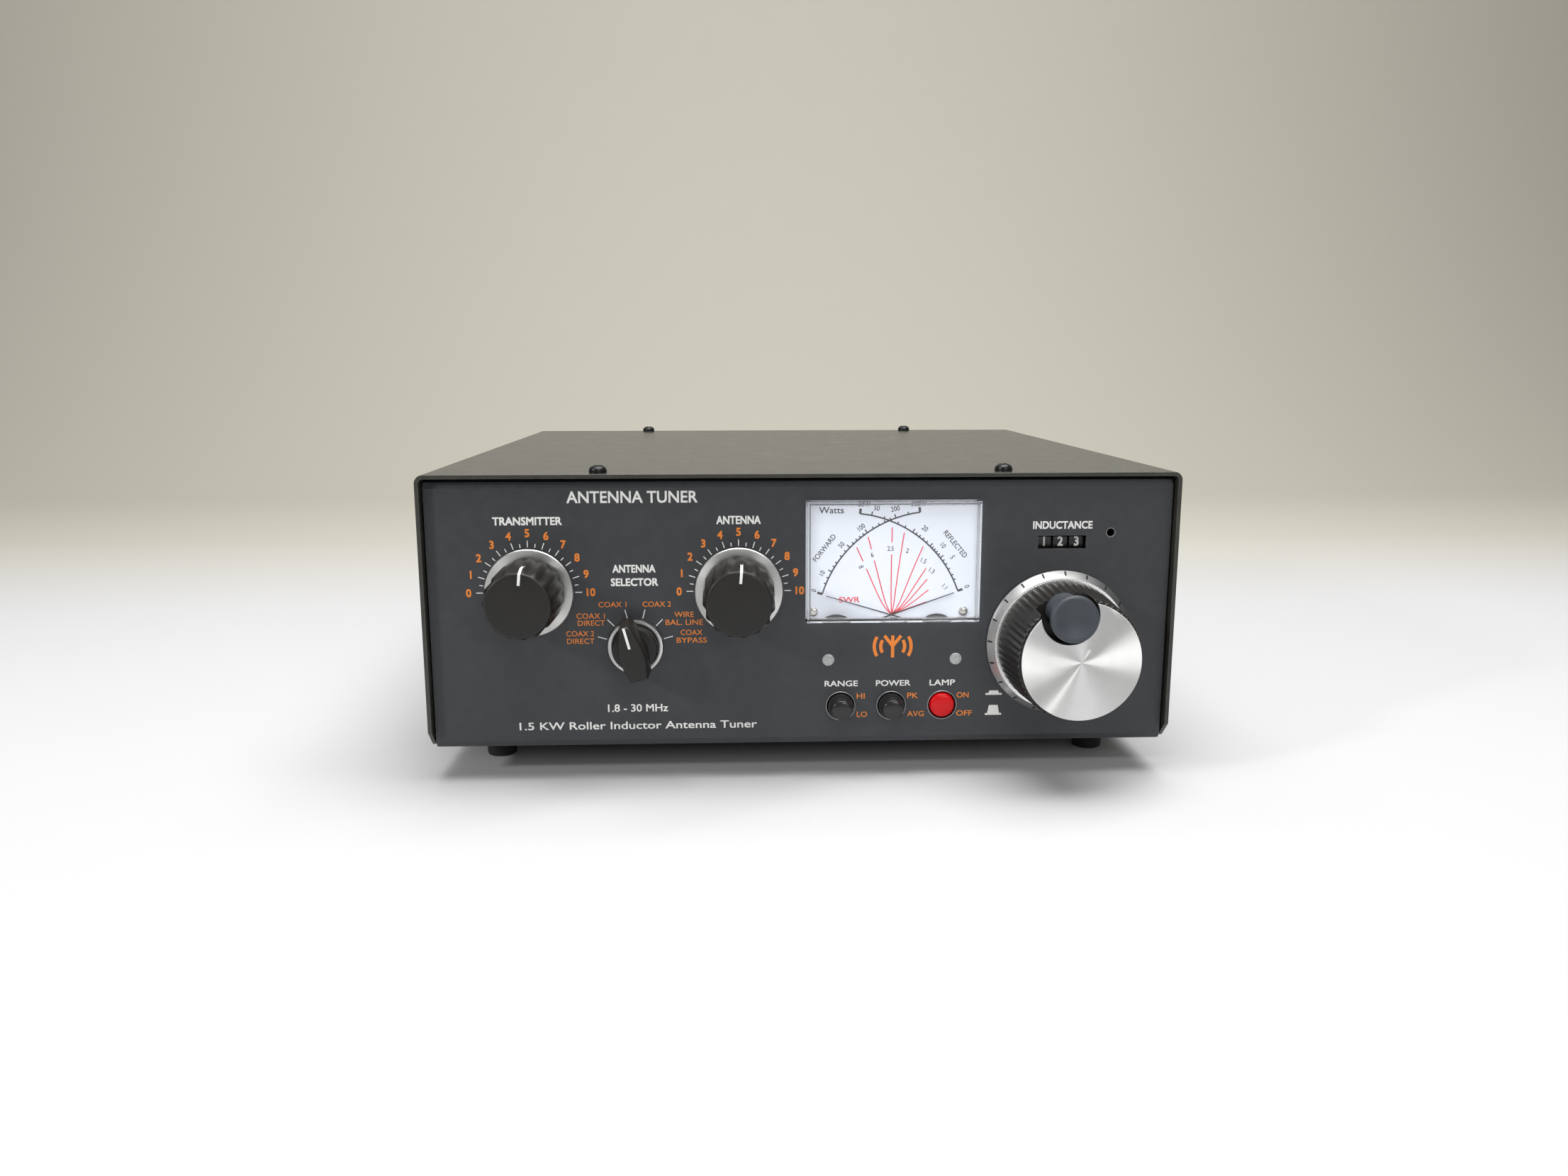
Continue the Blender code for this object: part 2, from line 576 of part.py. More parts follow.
def inductor_knob(axis):
    """The big crank knob: dial skirt, fluted body, spun face and the finger spinner."""
    hole = SHAFT_RADIUS + GAP
    rim = SKIRT_STANDOFF + 1.0
    dial = [(hole, -SKIRT_STANDOFF), (DIAL_RADIUS, -SKIRT_STANDOFF), (DIAL_RADIUS, -rim),
            (DIAL_FRONT_RADIUS, -SKIRT_STANDOFF - DIAL_DEPTH), (hole, -SKIRT_STANDOFF - DIAL_DEPTH)]
    add_object("inductor_dial_skirt", turned(dial, 32, ring=True), SATIN, parent=axis, smooth=True)
    back = SKIRT_STANDOFF + DIAL_DEPTH + GAP
    front = CRANK_REACH - CRANK_FACE_THICKNESS - GAP
    rings = [fluted(CRANK_BASE_RADIUS, CRANK_FLUTE_DEPTH, CRANK_FLUTES, -back),
             fluted(CRANK_FRONT_RADIUS, CRANK_FLUTE_DEPTH, CRANK_FLUTES, -front)]
    knob = add_object("inductor_knob", lofted(rings), BLACK_PLASTIC, parent=axis, smooth=True)
    bearing = math.radians(SPINNER_BEARING_DEG)
    x, z = SPINNER_OFFSET * math.cos(bearing), SPINNER_OFFSET * math.sin(bearing)
    floor = CRANK_REACH - POCKET_DEPTH
    socket = floor - SPINNER_AXLE_LENGTH - 1.0
    pocket = turned([(0, -socket), (SPINNER_AXLE_RADIUS + BORE_GAP, -socket), (SPINNER_AXLE_RADIUS + BORE_GAP, -floor),
                     (POCKET_RADIUS, -floor), (POCKET_RADIUS, -CRANK_REACH - 5.0), (0, -CRANK_REACH - 5.0)], 20)
    combine(knob, "DIFFERENCE", merged(rod(hole, -back - KNOB_BORE_DEPTH, 0.0, 16), moved(pocket, x, 0.0, z)))
    face = add_object("inductor_knob_face", rod(CRANK_FACE_RADIUS, -CRANK_REACH, -CRANK_REACH + CRANK_FACE_THICKNESS, 32),
                      SATIN, parent=axis, smooth=True)
    combine(face, "DIFFERENCE", moved(rod(POCKET_RADIUS, -CRANK_REACH - 5.0, 0.0, 20), x, 0.0, z))
    top = CRANK_REACH + SPINNER_PROUD
    spinner = [(0, -floor + SPINNER_AXLE_LENGTH), (SPINNER_AXLE_RADIUS, -floor + SPINNER_AXLE_LENGTH),
               (SPINNER_AXLE_RADIUS, -floor - GAP), (6.4, -floor - GAP), (6.6, -top + 7.0),
               (SPINNER_RADIUS, -top + 4.5), (SPINNER_RADIUS, -top + 1.2), (7.2, -top), (5.5, -top), (0, -top + 1.6)]
    add_object("spinner", turned(spinner, 16), FINGER_RUBBER, (x, 0.0, z), axis, smooth=True)


def gear(phase):
    """A spur gear about Y, with a tooth at the given angle."""
    pitch_radius = (COUNTER_AT[1] - INDUCTOR_AT[1]) / 2
    tip, root = pitch_radius + GEAR_ADDENDUM, pitch_radius - GEAR_DEDENDUM
    tooth = math.tau / GEAR_TEETH
    outline = []
    for index in range(GEAR_TEETH):
        for radius, share in ((root, -0.31), (tip, -0.11), (tip, 0.11), (root, 0.31)):
            angle = phase + (index + share) * tooth
            outline.append((radius * math.cos(angle), radius * math.sin(angle)))
    return prism(outline, 0.0, GEAR_THICKNESS)


def turns_counter():
    """Three number wheels on an axle in a case, and the gear that drives them."""
    x, _, z = on_panel(COUNTER_AT)
    front = PANEL_BACK + GAP
    axle_y = front + 1.0 + WHEEL_RADIUS
    half = 1.5 * WHEEL_PITCH + 0.6
    tall = WHEEL_RADIUS + 0.8
    back = axle_y + WHEEL_RADIUS + 1.0
    case = add_object("counter_case", box((x - half - COUNTER_WALL, front, z - tall - COUNTER_WALL),
                                          (x + half + COUNTER_WALL, back + COUNTER_WALL, z + tall + COUNTER_WALL)),
                      BLACK_PLASTIC)
    combine(case, "DIFFERENCE", box((x - half, front - 5.0, z - tall), (x + half, back, z + tall)))
    axle = rod(COUNTER_AXLE_RADIUS, x - half - 1.0, x + half + 1.0, 12, "X")
    combine(case, "UNION", moved(axle, 0.0, axle_y, z))
    bore = rod(COUNTER_SHAFT_RADIUS + GAP, back - 5.0, back + COUNTER_WALL + 5.0, 16)
    combine(case, "DIFFERENCE", moved(bore, x, 0.0, z))
    width = (WHEEL_PITCH - WHEEL_GAP) / 2
    hole = COUNTER_AXLE_RADIUS + BORE_GAP
    ring = [(hole, -width), (WHEEL_RADIUS, -width), (WHEEL_RADIUS, width), (hole, width)]
    for place, name in enumerate(("hundreds_wheel", "tens_wheel", "units_wheel")):
        add_object(name, turned(ring, 20, "X", ring=True), WHEEL_PLASTIC,
                   (x + (place - 1) * WHEEL_PITCH, axle_y, z), smooth=True)
    return back + COUNTER_WALL


def roller_inductor():
    """The coil on its drum and shaft, its frame, and the contact wheel that rolls along it."""
    x, y, z = on_panel(INDUCTOR_AT)
    axis = add_axis("inductor_axis", (x, y, z))
    inductor_knob(axis)
    gear_start = turns_counter() + 2.0
    counter_gear = add_object("counter_gear", gear(math.pi / GEAR_TEETH - math.pi / 2), NYLON,
                              (COUNTER_AT[0], gear_start, COVER_BOTTOM + COUNTER_AT[1]))
    combine(counter_gear, "UNION", rod(COUNTER_SHAFT_RADIUS, -2.0 - COUNTER_WALL + 0.5, 1.0, 12))
    drive_gear = add_object("inductor_gear", moved(gear(math.pi / 2), 0.0, gear_start - y), NYLON, parent=axis)
    combine(drive_gear, "DIFFERENCE", rod(SHAFT_RADIUS + GAP, gear_start - y - 5.0, gear_start - y + 10.0, 16))

    frame_start = gear_start - y + GEAR_THICKNESS + FRAME_FROM_GEAR
    coil_start = frame_start + FRAME_THICKNESS + COIL_END_ROOM
    coil_end = coil_start + COIL_TURNS * COIL_PITCH
    frame_end = coil_end + COIL_END_ROOM
    drum_start, drum_end = frame_start + FRAME_THICKNESS + DRUM_END_ROOM, frame_end - DRUM_END_ROOM
    nose = -(SKIRT_STANDOFF + DIAL_DEPTH + KNOB_BORE_DEPTH - 1.0)
    tail = frame_end + FRAME_THICKNESS + 3.0
    drum = [(0, nose), (SHAFT_RADIUS, nose), (SHAFT_RADIUS, drum_start), (DRUM_RADIUS, drum_start),
            (DRUM_RADIUS, drum_end), (SHAFT_RADIUS, drum_end), (SHAFT_RADIUS, tail), (0, tail)]
    add_object("coil_drum", turned(drum, 20), CERAMIC, parent=axis, smooth=True)

    bearing = math.radians(CONTACT_BEARING_DEG)
    turns_left = COIL_TURNS - TURNS_AT_REST
    half = WIRE / 2
    rings = []
    for step in range(COIL_TURNS * COIL_STEPS + 1):
        turn = step / COIL_STEPS
        angle = bearing + (turn - turns_left) * math.tau
        along = coil_start + turn * COIL_PITCH
        section = ((COIL_RADIUS - half, -half), (COIL_RADIUS + half, -half),
                   (COIL_RADIUS + half, half), (COIL_RADIUS - half, half))
        rings.append([(r * math.sin(angle), along + dy, r * math.cos(angle)) for r, dy in section])
    add_object("coil_winding", lofted(rings), COPPER, parent=axis)

    low = FLOOR_TOP + GAP
    ends = [box((x - FRAME_HALF, y + start, low), (x + FRAME_HALF, y + start + FRAME_THICKNESS, z + FRAME_HALF))
            for start in (frame_start, frame_end)]
    frame = add_object("inductor_frame", ends[0], CERAMIC)
    rods = []
    for side_x, side_z in ((1, 1), (-1, -1), (1, -1)):
        corner = FRAME_HALF - TIE_ROD_RADIUS - 1.0
        rods.append(moved(rod(TIE_ROD_RADIUS, y + frame_start + 1.0, y + frame_end + FRAME_THICKNESS - 1.0, 8),
                          x + side_x * corner, 0.0, z + side_z * corner))
    distance = COIL_RADIUS + WIRE / 2 + GAP + CONTACT_RADIUS
    rod_x, rod_z = x + distance * math.sin(bearing), z + distance * math.cos(bearing)
    rods.append(moved(rod(CONTACT_ROD_RADIUS, y + frame_start + 1.0, y + frame_end + FRAME_THICKNESS - 1.0, 12),
                      rod_x, 0.0, rod_z))
    combine(frame, "UNION", merged(ends[1], *rods))
    bore = rod(SHAFT_RADIUS + BORE_GAP, y + frame_start - 3.0, y + frame_end + FRAME_THICKNESS + 3.0, 16)
    combine(frame, "DIFFERENCE", moved(bore, x, 0.0, z))

    contact_y = y + coil_start + turns_left * COIL_PITCH
    inner, outer, flange = CONTACT_ROD_RADIUS + GAP, CONTACT_ROD_RADIUS + 1.4, CONTACT_ROD_RADIUS + 3.0
    half = CONTACT_WIDTH / 2
    bush = [(inner, -half - 1.3), (flange, -half - 1.3), (flange, -half - GAP), (outer, -half - GAP),
            (outer, half + GAP), (flange, half + GAP), (flange, half + 1.3), (inner, half + 1.3)]
    add_object("contact_bush", turned(bush, 12, ring=True), NICKEL, (rod_x, contact_y, rod_z), smooth=True)
    wheel = [(outer + GAP, -half), (CONTACT_RADIUS, -half), (CONTACT_RADIUS - 0.6, 0.0), (CONTACT_RADIUS, half),
             (outer + GAP, half)]
    add_object("contact_wheel", turned(wheel, 16, ring=True), NICKEL, (rod_x, contact_y, rod_z), smooth=True)


def push_switches():
    """Three latching push buttons and the switch bank that they slide in."""
    bank_front = PANEL + BUTTON_TAIL + BUTTON_TRAVEL + 1.0
    stem_end = BUTTON_TAIL + BUTTON_TRAVEL + 8.0
    for name, at in BUTTONS_AT.items():
        cap = [(0, -BUTTON_REACH), (BUTTON_FRONT_RADIUS - 0.5, -BUTTON_REACH),
               (BUTTON_FRONT_RADIUS, -BUTTON_REACH + 0.5), (BUTTON_BASE_RADIUS, -1.0),
               (BUTTON_BASE_RADIUS, BUTTON_TAIL), (STEM_RADIUS, BUTTON_TAIL), (STEM_RADIUS, stem_end), (0, stem_end)]
        pressed = BUTTON_TRAVEL if name == "lamp_button" else 0.0
        finish = RED_PLASTIC if name == "lamp_button" else BLACK_PLASTIC
        add_object(name, turned(cap, 14), finish, on_panel(at, PANEL + pressed), smooth=True)
    x_low, x_high = BUTTONS_AT["range_button"][0] - BANK_MARGIN, BUTTONS_AT["lamp_button"][0] + BANK_MARGIN
    z = COVER_BOTTOM + BUTTONS_AT["range_button"][1]
    bank = add_object("switch_bank", box((x_low, bank_front, FLOOR_TOP + GAP),
                                         (x_high, bank_front + BANK_DEPTH, z + BANK_HEIGHT / 2)), NYLON)
    bores = [moved(rod(STEM_RADIUS + GAP, bank_front - 3.0, bank_front + BANK_DEPTH - 2.0, 16), at[0], 0.0, z)
             for at in BUTTONS_AT.values()]
    combine(bank, "DIFFERENCE", merged(*bores))


def needle(name, at, length, zero_deg, setback):
    """A meter pointer on its hub, lying at its zero mark."""
    y = PANEL + setback
    pointer = [(-NEEDLE_WIDTH, -NEEDLE_WIDTH / 2), (length, -NEEDLE_WIDTH / 4),
               (length, NEEDLE_WIDTH / 4), (-NEEDLE_WIDTH, NEEDLE_WIDTH / 2)]
    made = add_object(name, rod(NEEDLE_HUB_RADIUS, 0.0, NEEDLE_THICKNESS, 12), BLACK_PLASTIC, on_panel(at, y))
    made.rotation_euler = (0.0, -math.radians(zero_deg), 0.0)
    combine(made, "UNION", prism(pointer, 0.0, NEEDLE_THICKNESS))


def meter():
    """The cross-needle meter: clear window, printed dial, two pointers and the case behind."""
    x, _, z = on_panel(METER_AT)
    half_width, half_height = METER_WIDTH / 2, METER_HEIGHT / 2
    front = PANEL - METER_PROUD
    window = add_object("meter_window", box((x - half_width, front, z - half_height),
                                            (x + half_width, PANEL_BACK, z + half_height)), CLEAR)
    wall = METER_WALL
    combine(window, "DIFFERENCE", box((x - half_width + wall, front + wall, z - half_height + wall),
                                      (x + half_width - wall, PANEL_BACK + 5.0, z + half_height - wall)))
    margin = METER_CASE_MARGIN
    start, end = PANEL_BACK + GAP, PANEL_BACK + METER_CASE_DEPTH
    low = (x - half_width - margin, start, z - half_height - METER_CASE_DROP)
    high = (x + half_width + margin, end, z + half_height + margin)
    case = add_object("meter_case", box(low, high), BLACK_PLASTIC)
    inner_low = (low[0] + wall, start - 5.0, low[2] + wall)
    inner_high = (high[0] - wall, end - wall, high[2] - wall)
    combine(case, "DIFFERENCE", box(inner_low, inner_high))
    posts = []
    for at, setback in ((FORWARD_PIVOT_AT, FORWARD_SETBACK), (REFLECTED_PIVOT_AT, REFLECTED_SETBACK)):
        place = on_panel(at)
        tip = PANEL + setback + NEEDLE_THICKNESS + GAP
        posts.append(moved(rod(1.5, tip, end - wall + 0.5, 8), place[0], 0.0, place[2]))
    combine(case, "UNION", merged(*posts))
    dial = PANEL + DIAL_SETBACK
    add_object("meter_dial", box((inner_low[0] + GAP, dial, z - half_height + GAP),
                                 (inner_high[0] - GAP, dial + DIAL_THICKNESS, inner_high[2] - GAP)), DIAL_CARD)
    needle("forward_needle", FORWARD_PIVOT_AT, FORWARD_LENGTH, FORWARD_ZERO_DEG, FORWARD_SETBACK)
    needle("reflected_needle", REFLECTED_PIVOT_AT, REFLECTED_LENGTH, REFLECTED_ZERO_DEG, REFLECTED_SETBACK)


def rear_fittings():
    """Coaxial sockets, feed-through insulators with their posts, and the ground post."""
    for name, at in SOCKETS_AT.items():
        half = SOCKET_FLANGE / 2
        flange = box((-half, GAP, -half), (half, GAP + SOCKET_FLANGE_THICKNESS, half))
        socket = add_object(name, flange, NICKEL, on_panel(at, REAR), smooth=True)
        end = GAP + SOCKET_FLANGE_THICKNESS + SOCKET_REACH
        barrel = [(0, -SOCKET_TAIL), (SOCKET_INNER_RADIUS, -SOCKET_TAIL), (SOCKET_INNER_RADIUS, GAP + 0.5),
                  (SOCKET_RADIUS, GAP + 0.5), (SOCKET_RADIUS, end), (SOCKET_MOUTH_RADIUS, end),
                  (SOCKET_MOUTH_RADIUS, end - SOCKET_MOUTH_DEPTH), (0, end - SOCKET_MOUTH_DEPTH)]
        combine(socket, "UNION", turned(barrel, 16))
    for name, at in POSTS_AT.items():
        hole = POST_RADIUS + GAP
        insulator = [(hole, -4.0), (INSULATOR_COLLAR, -4.0), (INSULATOR_COLLAR, GAP), (INSULATOR_RADIUS, GAP),
                     (INSULATOR_RADIUS, 3.0), (INSULATOR_TIP_RADIUS, INSULATOR_REACH), (hole, INSULATOR_REACH)]
        add_object(f"{name}_insulator", turned(insulator, 16, ring=True), CERAMIC, on_panel(at, REAR), smooth=True)
        nut = INSULATOR_REACH + GAP
        post = [(0, -POST_TAIL), (POST_RADIUS, -POST_TAIL), (POST_RADIUS, nut), (NUT_RADIUS, nut),
                (NUT_RADIUS, nut + NUT_LENGTH), (POST_RADIUS, nut + NUT_LENGTH), (POST_RADIUS, POST_REACH),
                (0, POST_REACH)]
        add_object(f"{name}_post", turned(post, 10), NICKEL, on_panel(at, REAR), smooth=True)
    ground = [(0, -8.0), (POST_RADIUS, -8.0), (POST_RADIUS, GAP), (NUT_RADIUS, GAP), (NUT_RADIUS, NUT_LENGTH),
              (POST_RADIUS, NUT_LENGTH), (POST_RADIUS, 12.0), (0, 12.0)]
    add_object("ground_post", turned(ground, 10), NICKEL, on_panel(GROUND_AT, REAR), smooth=True)


def balun_and_sensor():
    """The ferrite balun and the power sensor's board, both standing on the floor."""
    low = FLOOR_TOP + GAP
    ring = [(BALUN_HOLE_RADIUS, low), (BALUN_RADIUS, low), (BALUN_RADIUS, low + BALUN_HEIGHT),
            (BALUN_HOLE_RADIUS, low + BALUN_HEIGHT)]
    add_object("balun_core", turned(ring, 20, "Z", ring=True), FERRITE,
               (BALUN_AT[0], COVER_BACK - BALUN_AT[1], 0.0), smooth=True)
    width, depth, thickness = BOARD_SIZE
    x, y = BOARD_AT[0], COVER_BACK - BOARD_AT[1]
    top = low + BOARD_STAND
    board = add_object("swr_board", box((x - width / 2, y - depth / 2, top),
                                        (x + width / 2, y + depth / 2, top + thickness)), BOARD)
    legs = []
    for side_x in (-1, 1):
        for side_y in (-1, 1):
            leg = rod(BOARD_LEG_RADIUS, low, top + thickness / 2, 8, "Z")
            legs.append(moved(leg, x + side_x * (width / 2 - 6.0), y + side_y * (depth / 2 - 6.0)))
    combine(board, "UNION", merged(*legs))


folded_case()
feet_and_screws()
capacitor("transmitter", TRANSMITTER_AT)
capacitor("antenna", ANTENNA_AT)
selector()
roller_inductor()
push_switches()
meter()
rear_fittings()
balun_and_sensor()
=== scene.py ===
import json
import math

import bmesh
import bpy
from mathutils import Euler, Matrix, Vector
from mathutils.bvhtree import BVHTree
from mathutils.geometry import delaunay_2d_cdt


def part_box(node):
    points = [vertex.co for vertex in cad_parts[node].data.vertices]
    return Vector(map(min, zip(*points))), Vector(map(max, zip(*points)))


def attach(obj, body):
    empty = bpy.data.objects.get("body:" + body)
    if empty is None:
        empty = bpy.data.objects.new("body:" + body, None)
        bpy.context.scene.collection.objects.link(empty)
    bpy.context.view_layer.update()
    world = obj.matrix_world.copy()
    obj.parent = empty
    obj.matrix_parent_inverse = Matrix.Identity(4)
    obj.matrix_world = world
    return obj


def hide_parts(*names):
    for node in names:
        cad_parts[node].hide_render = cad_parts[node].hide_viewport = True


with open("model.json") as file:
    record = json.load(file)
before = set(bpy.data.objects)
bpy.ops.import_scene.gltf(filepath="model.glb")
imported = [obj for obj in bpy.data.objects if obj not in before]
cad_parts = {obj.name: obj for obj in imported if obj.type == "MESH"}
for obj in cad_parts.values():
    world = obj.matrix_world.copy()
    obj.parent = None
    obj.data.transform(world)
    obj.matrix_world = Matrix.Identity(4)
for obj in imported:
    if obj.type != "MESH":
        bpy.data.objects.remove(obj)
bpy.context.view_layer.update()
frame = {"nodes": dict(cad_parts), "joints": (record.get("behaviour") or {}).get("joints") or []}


# ---------------------------------------------------------------------------
# Camera, floor and light
# A desk-top view from a little left of the middle and above the case, in a
# pale photo tent: white paper under the case, warm grey cloth behind it.
MM = 0.001

camera_data = bpy.data.cameras.new("camera")
camera_data.sensor_width = 36.0
camera_data.lens = 27.69
camera = bpy.data.objects.new("camera", camera_data)
camera.location = (-0.02406, -0.55843, 0.15279)
camera.rotation_euler = Euler((math.radians(90.0 - 10.61), math.radians(0.05), math.radians(-2.33)), "XYZ")
bpy.context.scene.collection.objects.link(camera)
bpy.context.scene.camera = camera


def area_light(name, place, target, size, power):
    """A soft rectangular lamp that faces a point."""
    data = bpy.data.lights.new(name, "AREA")
    data.shape = "RECTANGLE"
    data.size, data.size_y = size
    data.energy = power
    lamp = bpy.data.objects.new(name, data)
    lamp.location = place
    lamp.rotation_euler = (Vector(target) - Vector(place)).to_track_quat("-Z", "Y").to_euler()
    bpy.context.scene.collection.objects.link(lamp)


area_light("top_lamp", (0.1, -0.25, 1.2), (0.0, -0.05, 0.0), (1.2, 0.8), 21.0)
area_light("left_lamp", (-1.1, -0.9, 0.62), (0.0, -0.1, 0.05), (0.12, 0.12), 7.0)
area_light("right_lamp", (0.42, -1.3, 0.55), (0.0, -0.1, 0.05), (0.5, 0.3), 3.5)
area_light("cloth_lamp", (0.0, 0.5, 1.5), (0.0, 1.5, 0.5), (2.0, 0.5), 9.0)

world = bpy.data.worlds.new("tent")
world.use_nodes = True
world.node_tree.nodes["Background"].inputs["Color"].default_value = (0.93, 0.92, 0.88, 1.0)
world.node_tree.nodes["Background"].inputs["Strength"].default_value = 0.2
bpy.context.scene.world = world
bpy.context.scene.view_settings.view_transform = "Standard"


def add_node(tree, kind, inputs=(), **settings):
    """A node with its settings, and its inputs given as values or as sockets to link."""
    node = tree.nodes.new("ShaderNode" + kind)
    for setting, value in settings.items():
        setattr(node, setting, value)
    for socket, value in dict(inputs).items():
        if isinstance(value, bpy.types.NodeSocket):
            tree.links.new(value, node.inputs[socket])
        else:
            node.inputs[socket].default_value = value
    return node


def math_node(tree, operation, *values):
    return add_node(tree, "Math", enumerate(values), operation=operation).outputs[0]


def ramp(tree, value, low, high):
    """Zero at a low value, rising to one at a high value."""
    return add_node(tree, "MapRange", {
        "Value": value, "From Min": low, "From Max": high}).outputs[0]


def place_in(tree):
    """Where the shaded point is in its own object's space."""
    return add_node(tree, "TexCoord").outputs["Object"]


def new_group(name, inputs, outputs):
    """A shader node group, from {input: (socket type, value)} and {output: socket type}."""
    tree = bpy.data.node_groups.new(name, "ShaderNodeTree")
    for label, (kind, value) in inputs.items():
        tree.interface.new_socket(label, in_out="INPUT", socket_type=kind).default_value = value
    for label, kind in outputs.items():
        tree.interface.new_socket(label, in_out="OUTPUT", socket_type=kind)
    return tree, tree.nodes.new("NodeGroupInput").outputs, tree.nodes.new("NodeGroupOutput").inputs


def grain_group():
    """Fine grain over slow mottling: a varied colour and roughness, and the grain's relief."""
    tree, given, made = new_group(
        "grain",
        {"Colour": ("NodeSocketColor", (0.5, 0.5, 0.5, 1.0)), "Roughness": ("NodeSocketFloat", 0.5),
         "Size": ("NodeSocketFloat", 0.4), "Mottling": ("NodeSocketFloat", 0.1),
         "Relief": ("NodeSocketFloat", 0.01)},
        {"Colour": "NodeSocketColor", "Roughness": "NodeSocketFloat", "Normal": "NodeSocketVector"})
    place = place_in(tree)
    fine = add_node(tree, "TexNoise", {
        "Vector": place, "Scale": math_node(tree, "DIVIDE", 1.0 / MM, given["Size"]), "Detail": 2.0})
    slow = add_node(tree, "TexNoise", {
        "Vector": place, "Scale": math_node(tree, "DIVIDE", 0.05 / MM, given["Size"]), "Detail": 4.0})
    both = math_node(tree, "ADD", fine.outputs["Fac"], slow.outputs["Fac"])
    change = math_node(tree, "MULTIPLY", math_node(tree, "SUBTRACT", both, 1.0), given["Mottling"])
    brightness = math_node(tree, "MULTIPLY_ADD", change, 3.0, 1.0)
    colour = add_node(tree, "VectorMath", {0: given["Colour"], "Scale": brightness},
                      operation="SCALE")
    wander = math_node(tree, "MULTIPLY_ADD", slow.outputs["Fac"], 0.4, 0.8)
    bump = add_node(tree, "Bump", {
        "Height": fine.outputs["Fac"], "Distance": math_node(tree, "MULTIPLY", given["Relief"], MM)})
    tree.links.new(colour.outputs[0], made["Colour"])
    tree.links.new(math_node(tree, "MULTIPLY", wander, given["Roughness"]), made["Roughness"])
    tree.links.new(bump.outputs[0], made["Normal"])
    return tree


def edge_wear_group():
    """A mask of worn edges: where a rounded normal leaves the surface's own, broken up by noise."""
    tree, given, made = new_group(
        "edge_wear", {"Width": ("NodeSocketFloat", 0.5), "Amount": ("NodeSocketFloat", 0.5)},
        {"Mask": "NodeSocketFloat"})
    rounded = add_node(tree, "Bevel", {"Radius": math_node(tree, "MULTIPLY", given["Width"], MM)},
                       samples=6)
    own = add_node(tree, "NewGeometry").outputs["Normal"]
    facing = add_node(tree, "VectorMath", {0: rounded.outputs[0], 1: own}, operation="DOT_PRODUCT")
    bend = ramp(tree, facing.outputs["Value"], 0.995, 0.9)
    noise = add_node(tree, "TexNoise", {"Vector": place_in(tree), "Scale": 700.0, "Detail": 3.0})
    broken = math_node(tree, "MULTIPLY", bend, ramp(tree, noise.outputs["Fac"], 0.35, 0.62))
    tree.links.new(math_node(tree, "MULTIPLY", broken, given["Amount"]), made["Mask"])
    return tree


def dust_group():
    """A mask of dust: sparse specks over a faint film, on what faces up."""
    tree, given, made = new_group(
        "dust", {"Film": ("NodeSocketFloat", 0.02), "Specks": ("NodeSocketFloat", 0.5)},
        {"Mask": "NodeSocketFloat"})
    normal = add_node(tree, "SeparateXYZ", {
        0: add_node(tree, "NewGeometry").outputs["Normal"]}).outputs["Z"]
    specks = add_node(tree, "TexVoronoi", {"Vector": place_in(tree), "Scale": 160.0})
    near = ramp(tree, specks.outputs["Distance"], 0.06, 0.03)
    both = math_node(tree, "MULTIPLY_ADD", near, given["Specks"], given["Film"])
    tree.links.new(math_node(tree, "MULTIPLY", both, ramp(tree, normal, 0.2, 0.9)), made["Mask"])
    return tree


GRAIN = grain_group()
EDGE_WEAR = edge_wear_group()
DUST = dust_group()
DUST_COLOUR = (0.42, 0.41, 0.38, 1.0)


def blend_colours(tree, factor, first, second):
    return add_node(tree, "MixRGB", {0: factor, 1: first, 2: second}).outputs[0]


def use_group(tree, group, **given):
    return add_node(tree, "Group", given, node_tree=group).outputs


def grained(name, colour, sockets, **given):
    """A new material with its shader's sockets set, and the outputs of its grain."""
    made = bpy.data.materials.new(name)
    made.use_nodes = True
    shader = made.node_tree.nodes["Principled BSDF"]
    for socket, value in sockets.items():
        shader.inputs[socket.replace("_", " ")].default_value = value
    return made, shader, use_group(made.node_tree, GRAIN, Colour=(*colour, 1.0), **given)


def finish(name, colour, roughness, size=0.4, mottling=0.1, relief=0.01, wear=None, dust=0.0, **sockets):
    """A material of one substance: grain, then worn edges as (colour, amount, width), then dust."""
    made, shader, grain = grained(name, colour, sockets, Roughness=roughness, Size=size,
                                  Mottling=mottling, Relief=relief)
    tree = made.node_tree
    shown = grain["Colour"]
    if wear:
        worn, amount, width = wear
        mask = use_group(tree, EDGE_WEAR, Width=width, Amount=amount)["Mask"]
        shown = blend_colours(tree, mask, shown, (*worn, 1.0))
    if dust:
        mask = use_group(tree, DUST, Specks=dust)["Mask"]
        shown = blend_colours(tree, mask, shown, DUST_COLOUR)
    for socket, value in (("Base Color", shown), ("Roughness", grain["Roughness"]),
                          ("Normal", grain["Normal"])):
        tree.links.new(value, shader.inputs[socket])
    return made


def add_object(name, bm, material, place=(0.0, 0.0, 0.0), turn=0.0, bevel=0.0, smooth=35.0):
    """An object from a mesh in millimetres, placed in metres and turned about Y in degrees."""
    mesh = bpy.data.meshes.new(name)
    bmesh.ops.transform(bm, matrix=Matrix.Scale(MM, 4), verts=bm.verts)
    bm.to_mesh(mesh)
    bm.free()
    mesh.materials.append(material)
    if smooth:
        mesh.shade_smooth()
        mesh.set_sharp_from_angle(angle=math.radians(smooth))
    made = bpy.data.objects.new(name, mesh)
    made.location = place
    made.rotation_euler = (0.0, math.radians(turn), 0.0)
    bpy.context.scene.collection.objects.link(made)
    if bevel:
        step = made.modifiers.new("edges", "BEVEL")
        step.width = bevel * MM
        step.segments = 2
        step.limit_method = "ANGLE"
        step.angle_limit = math.radians(35.0)
        step.harden_normals = True
    return made


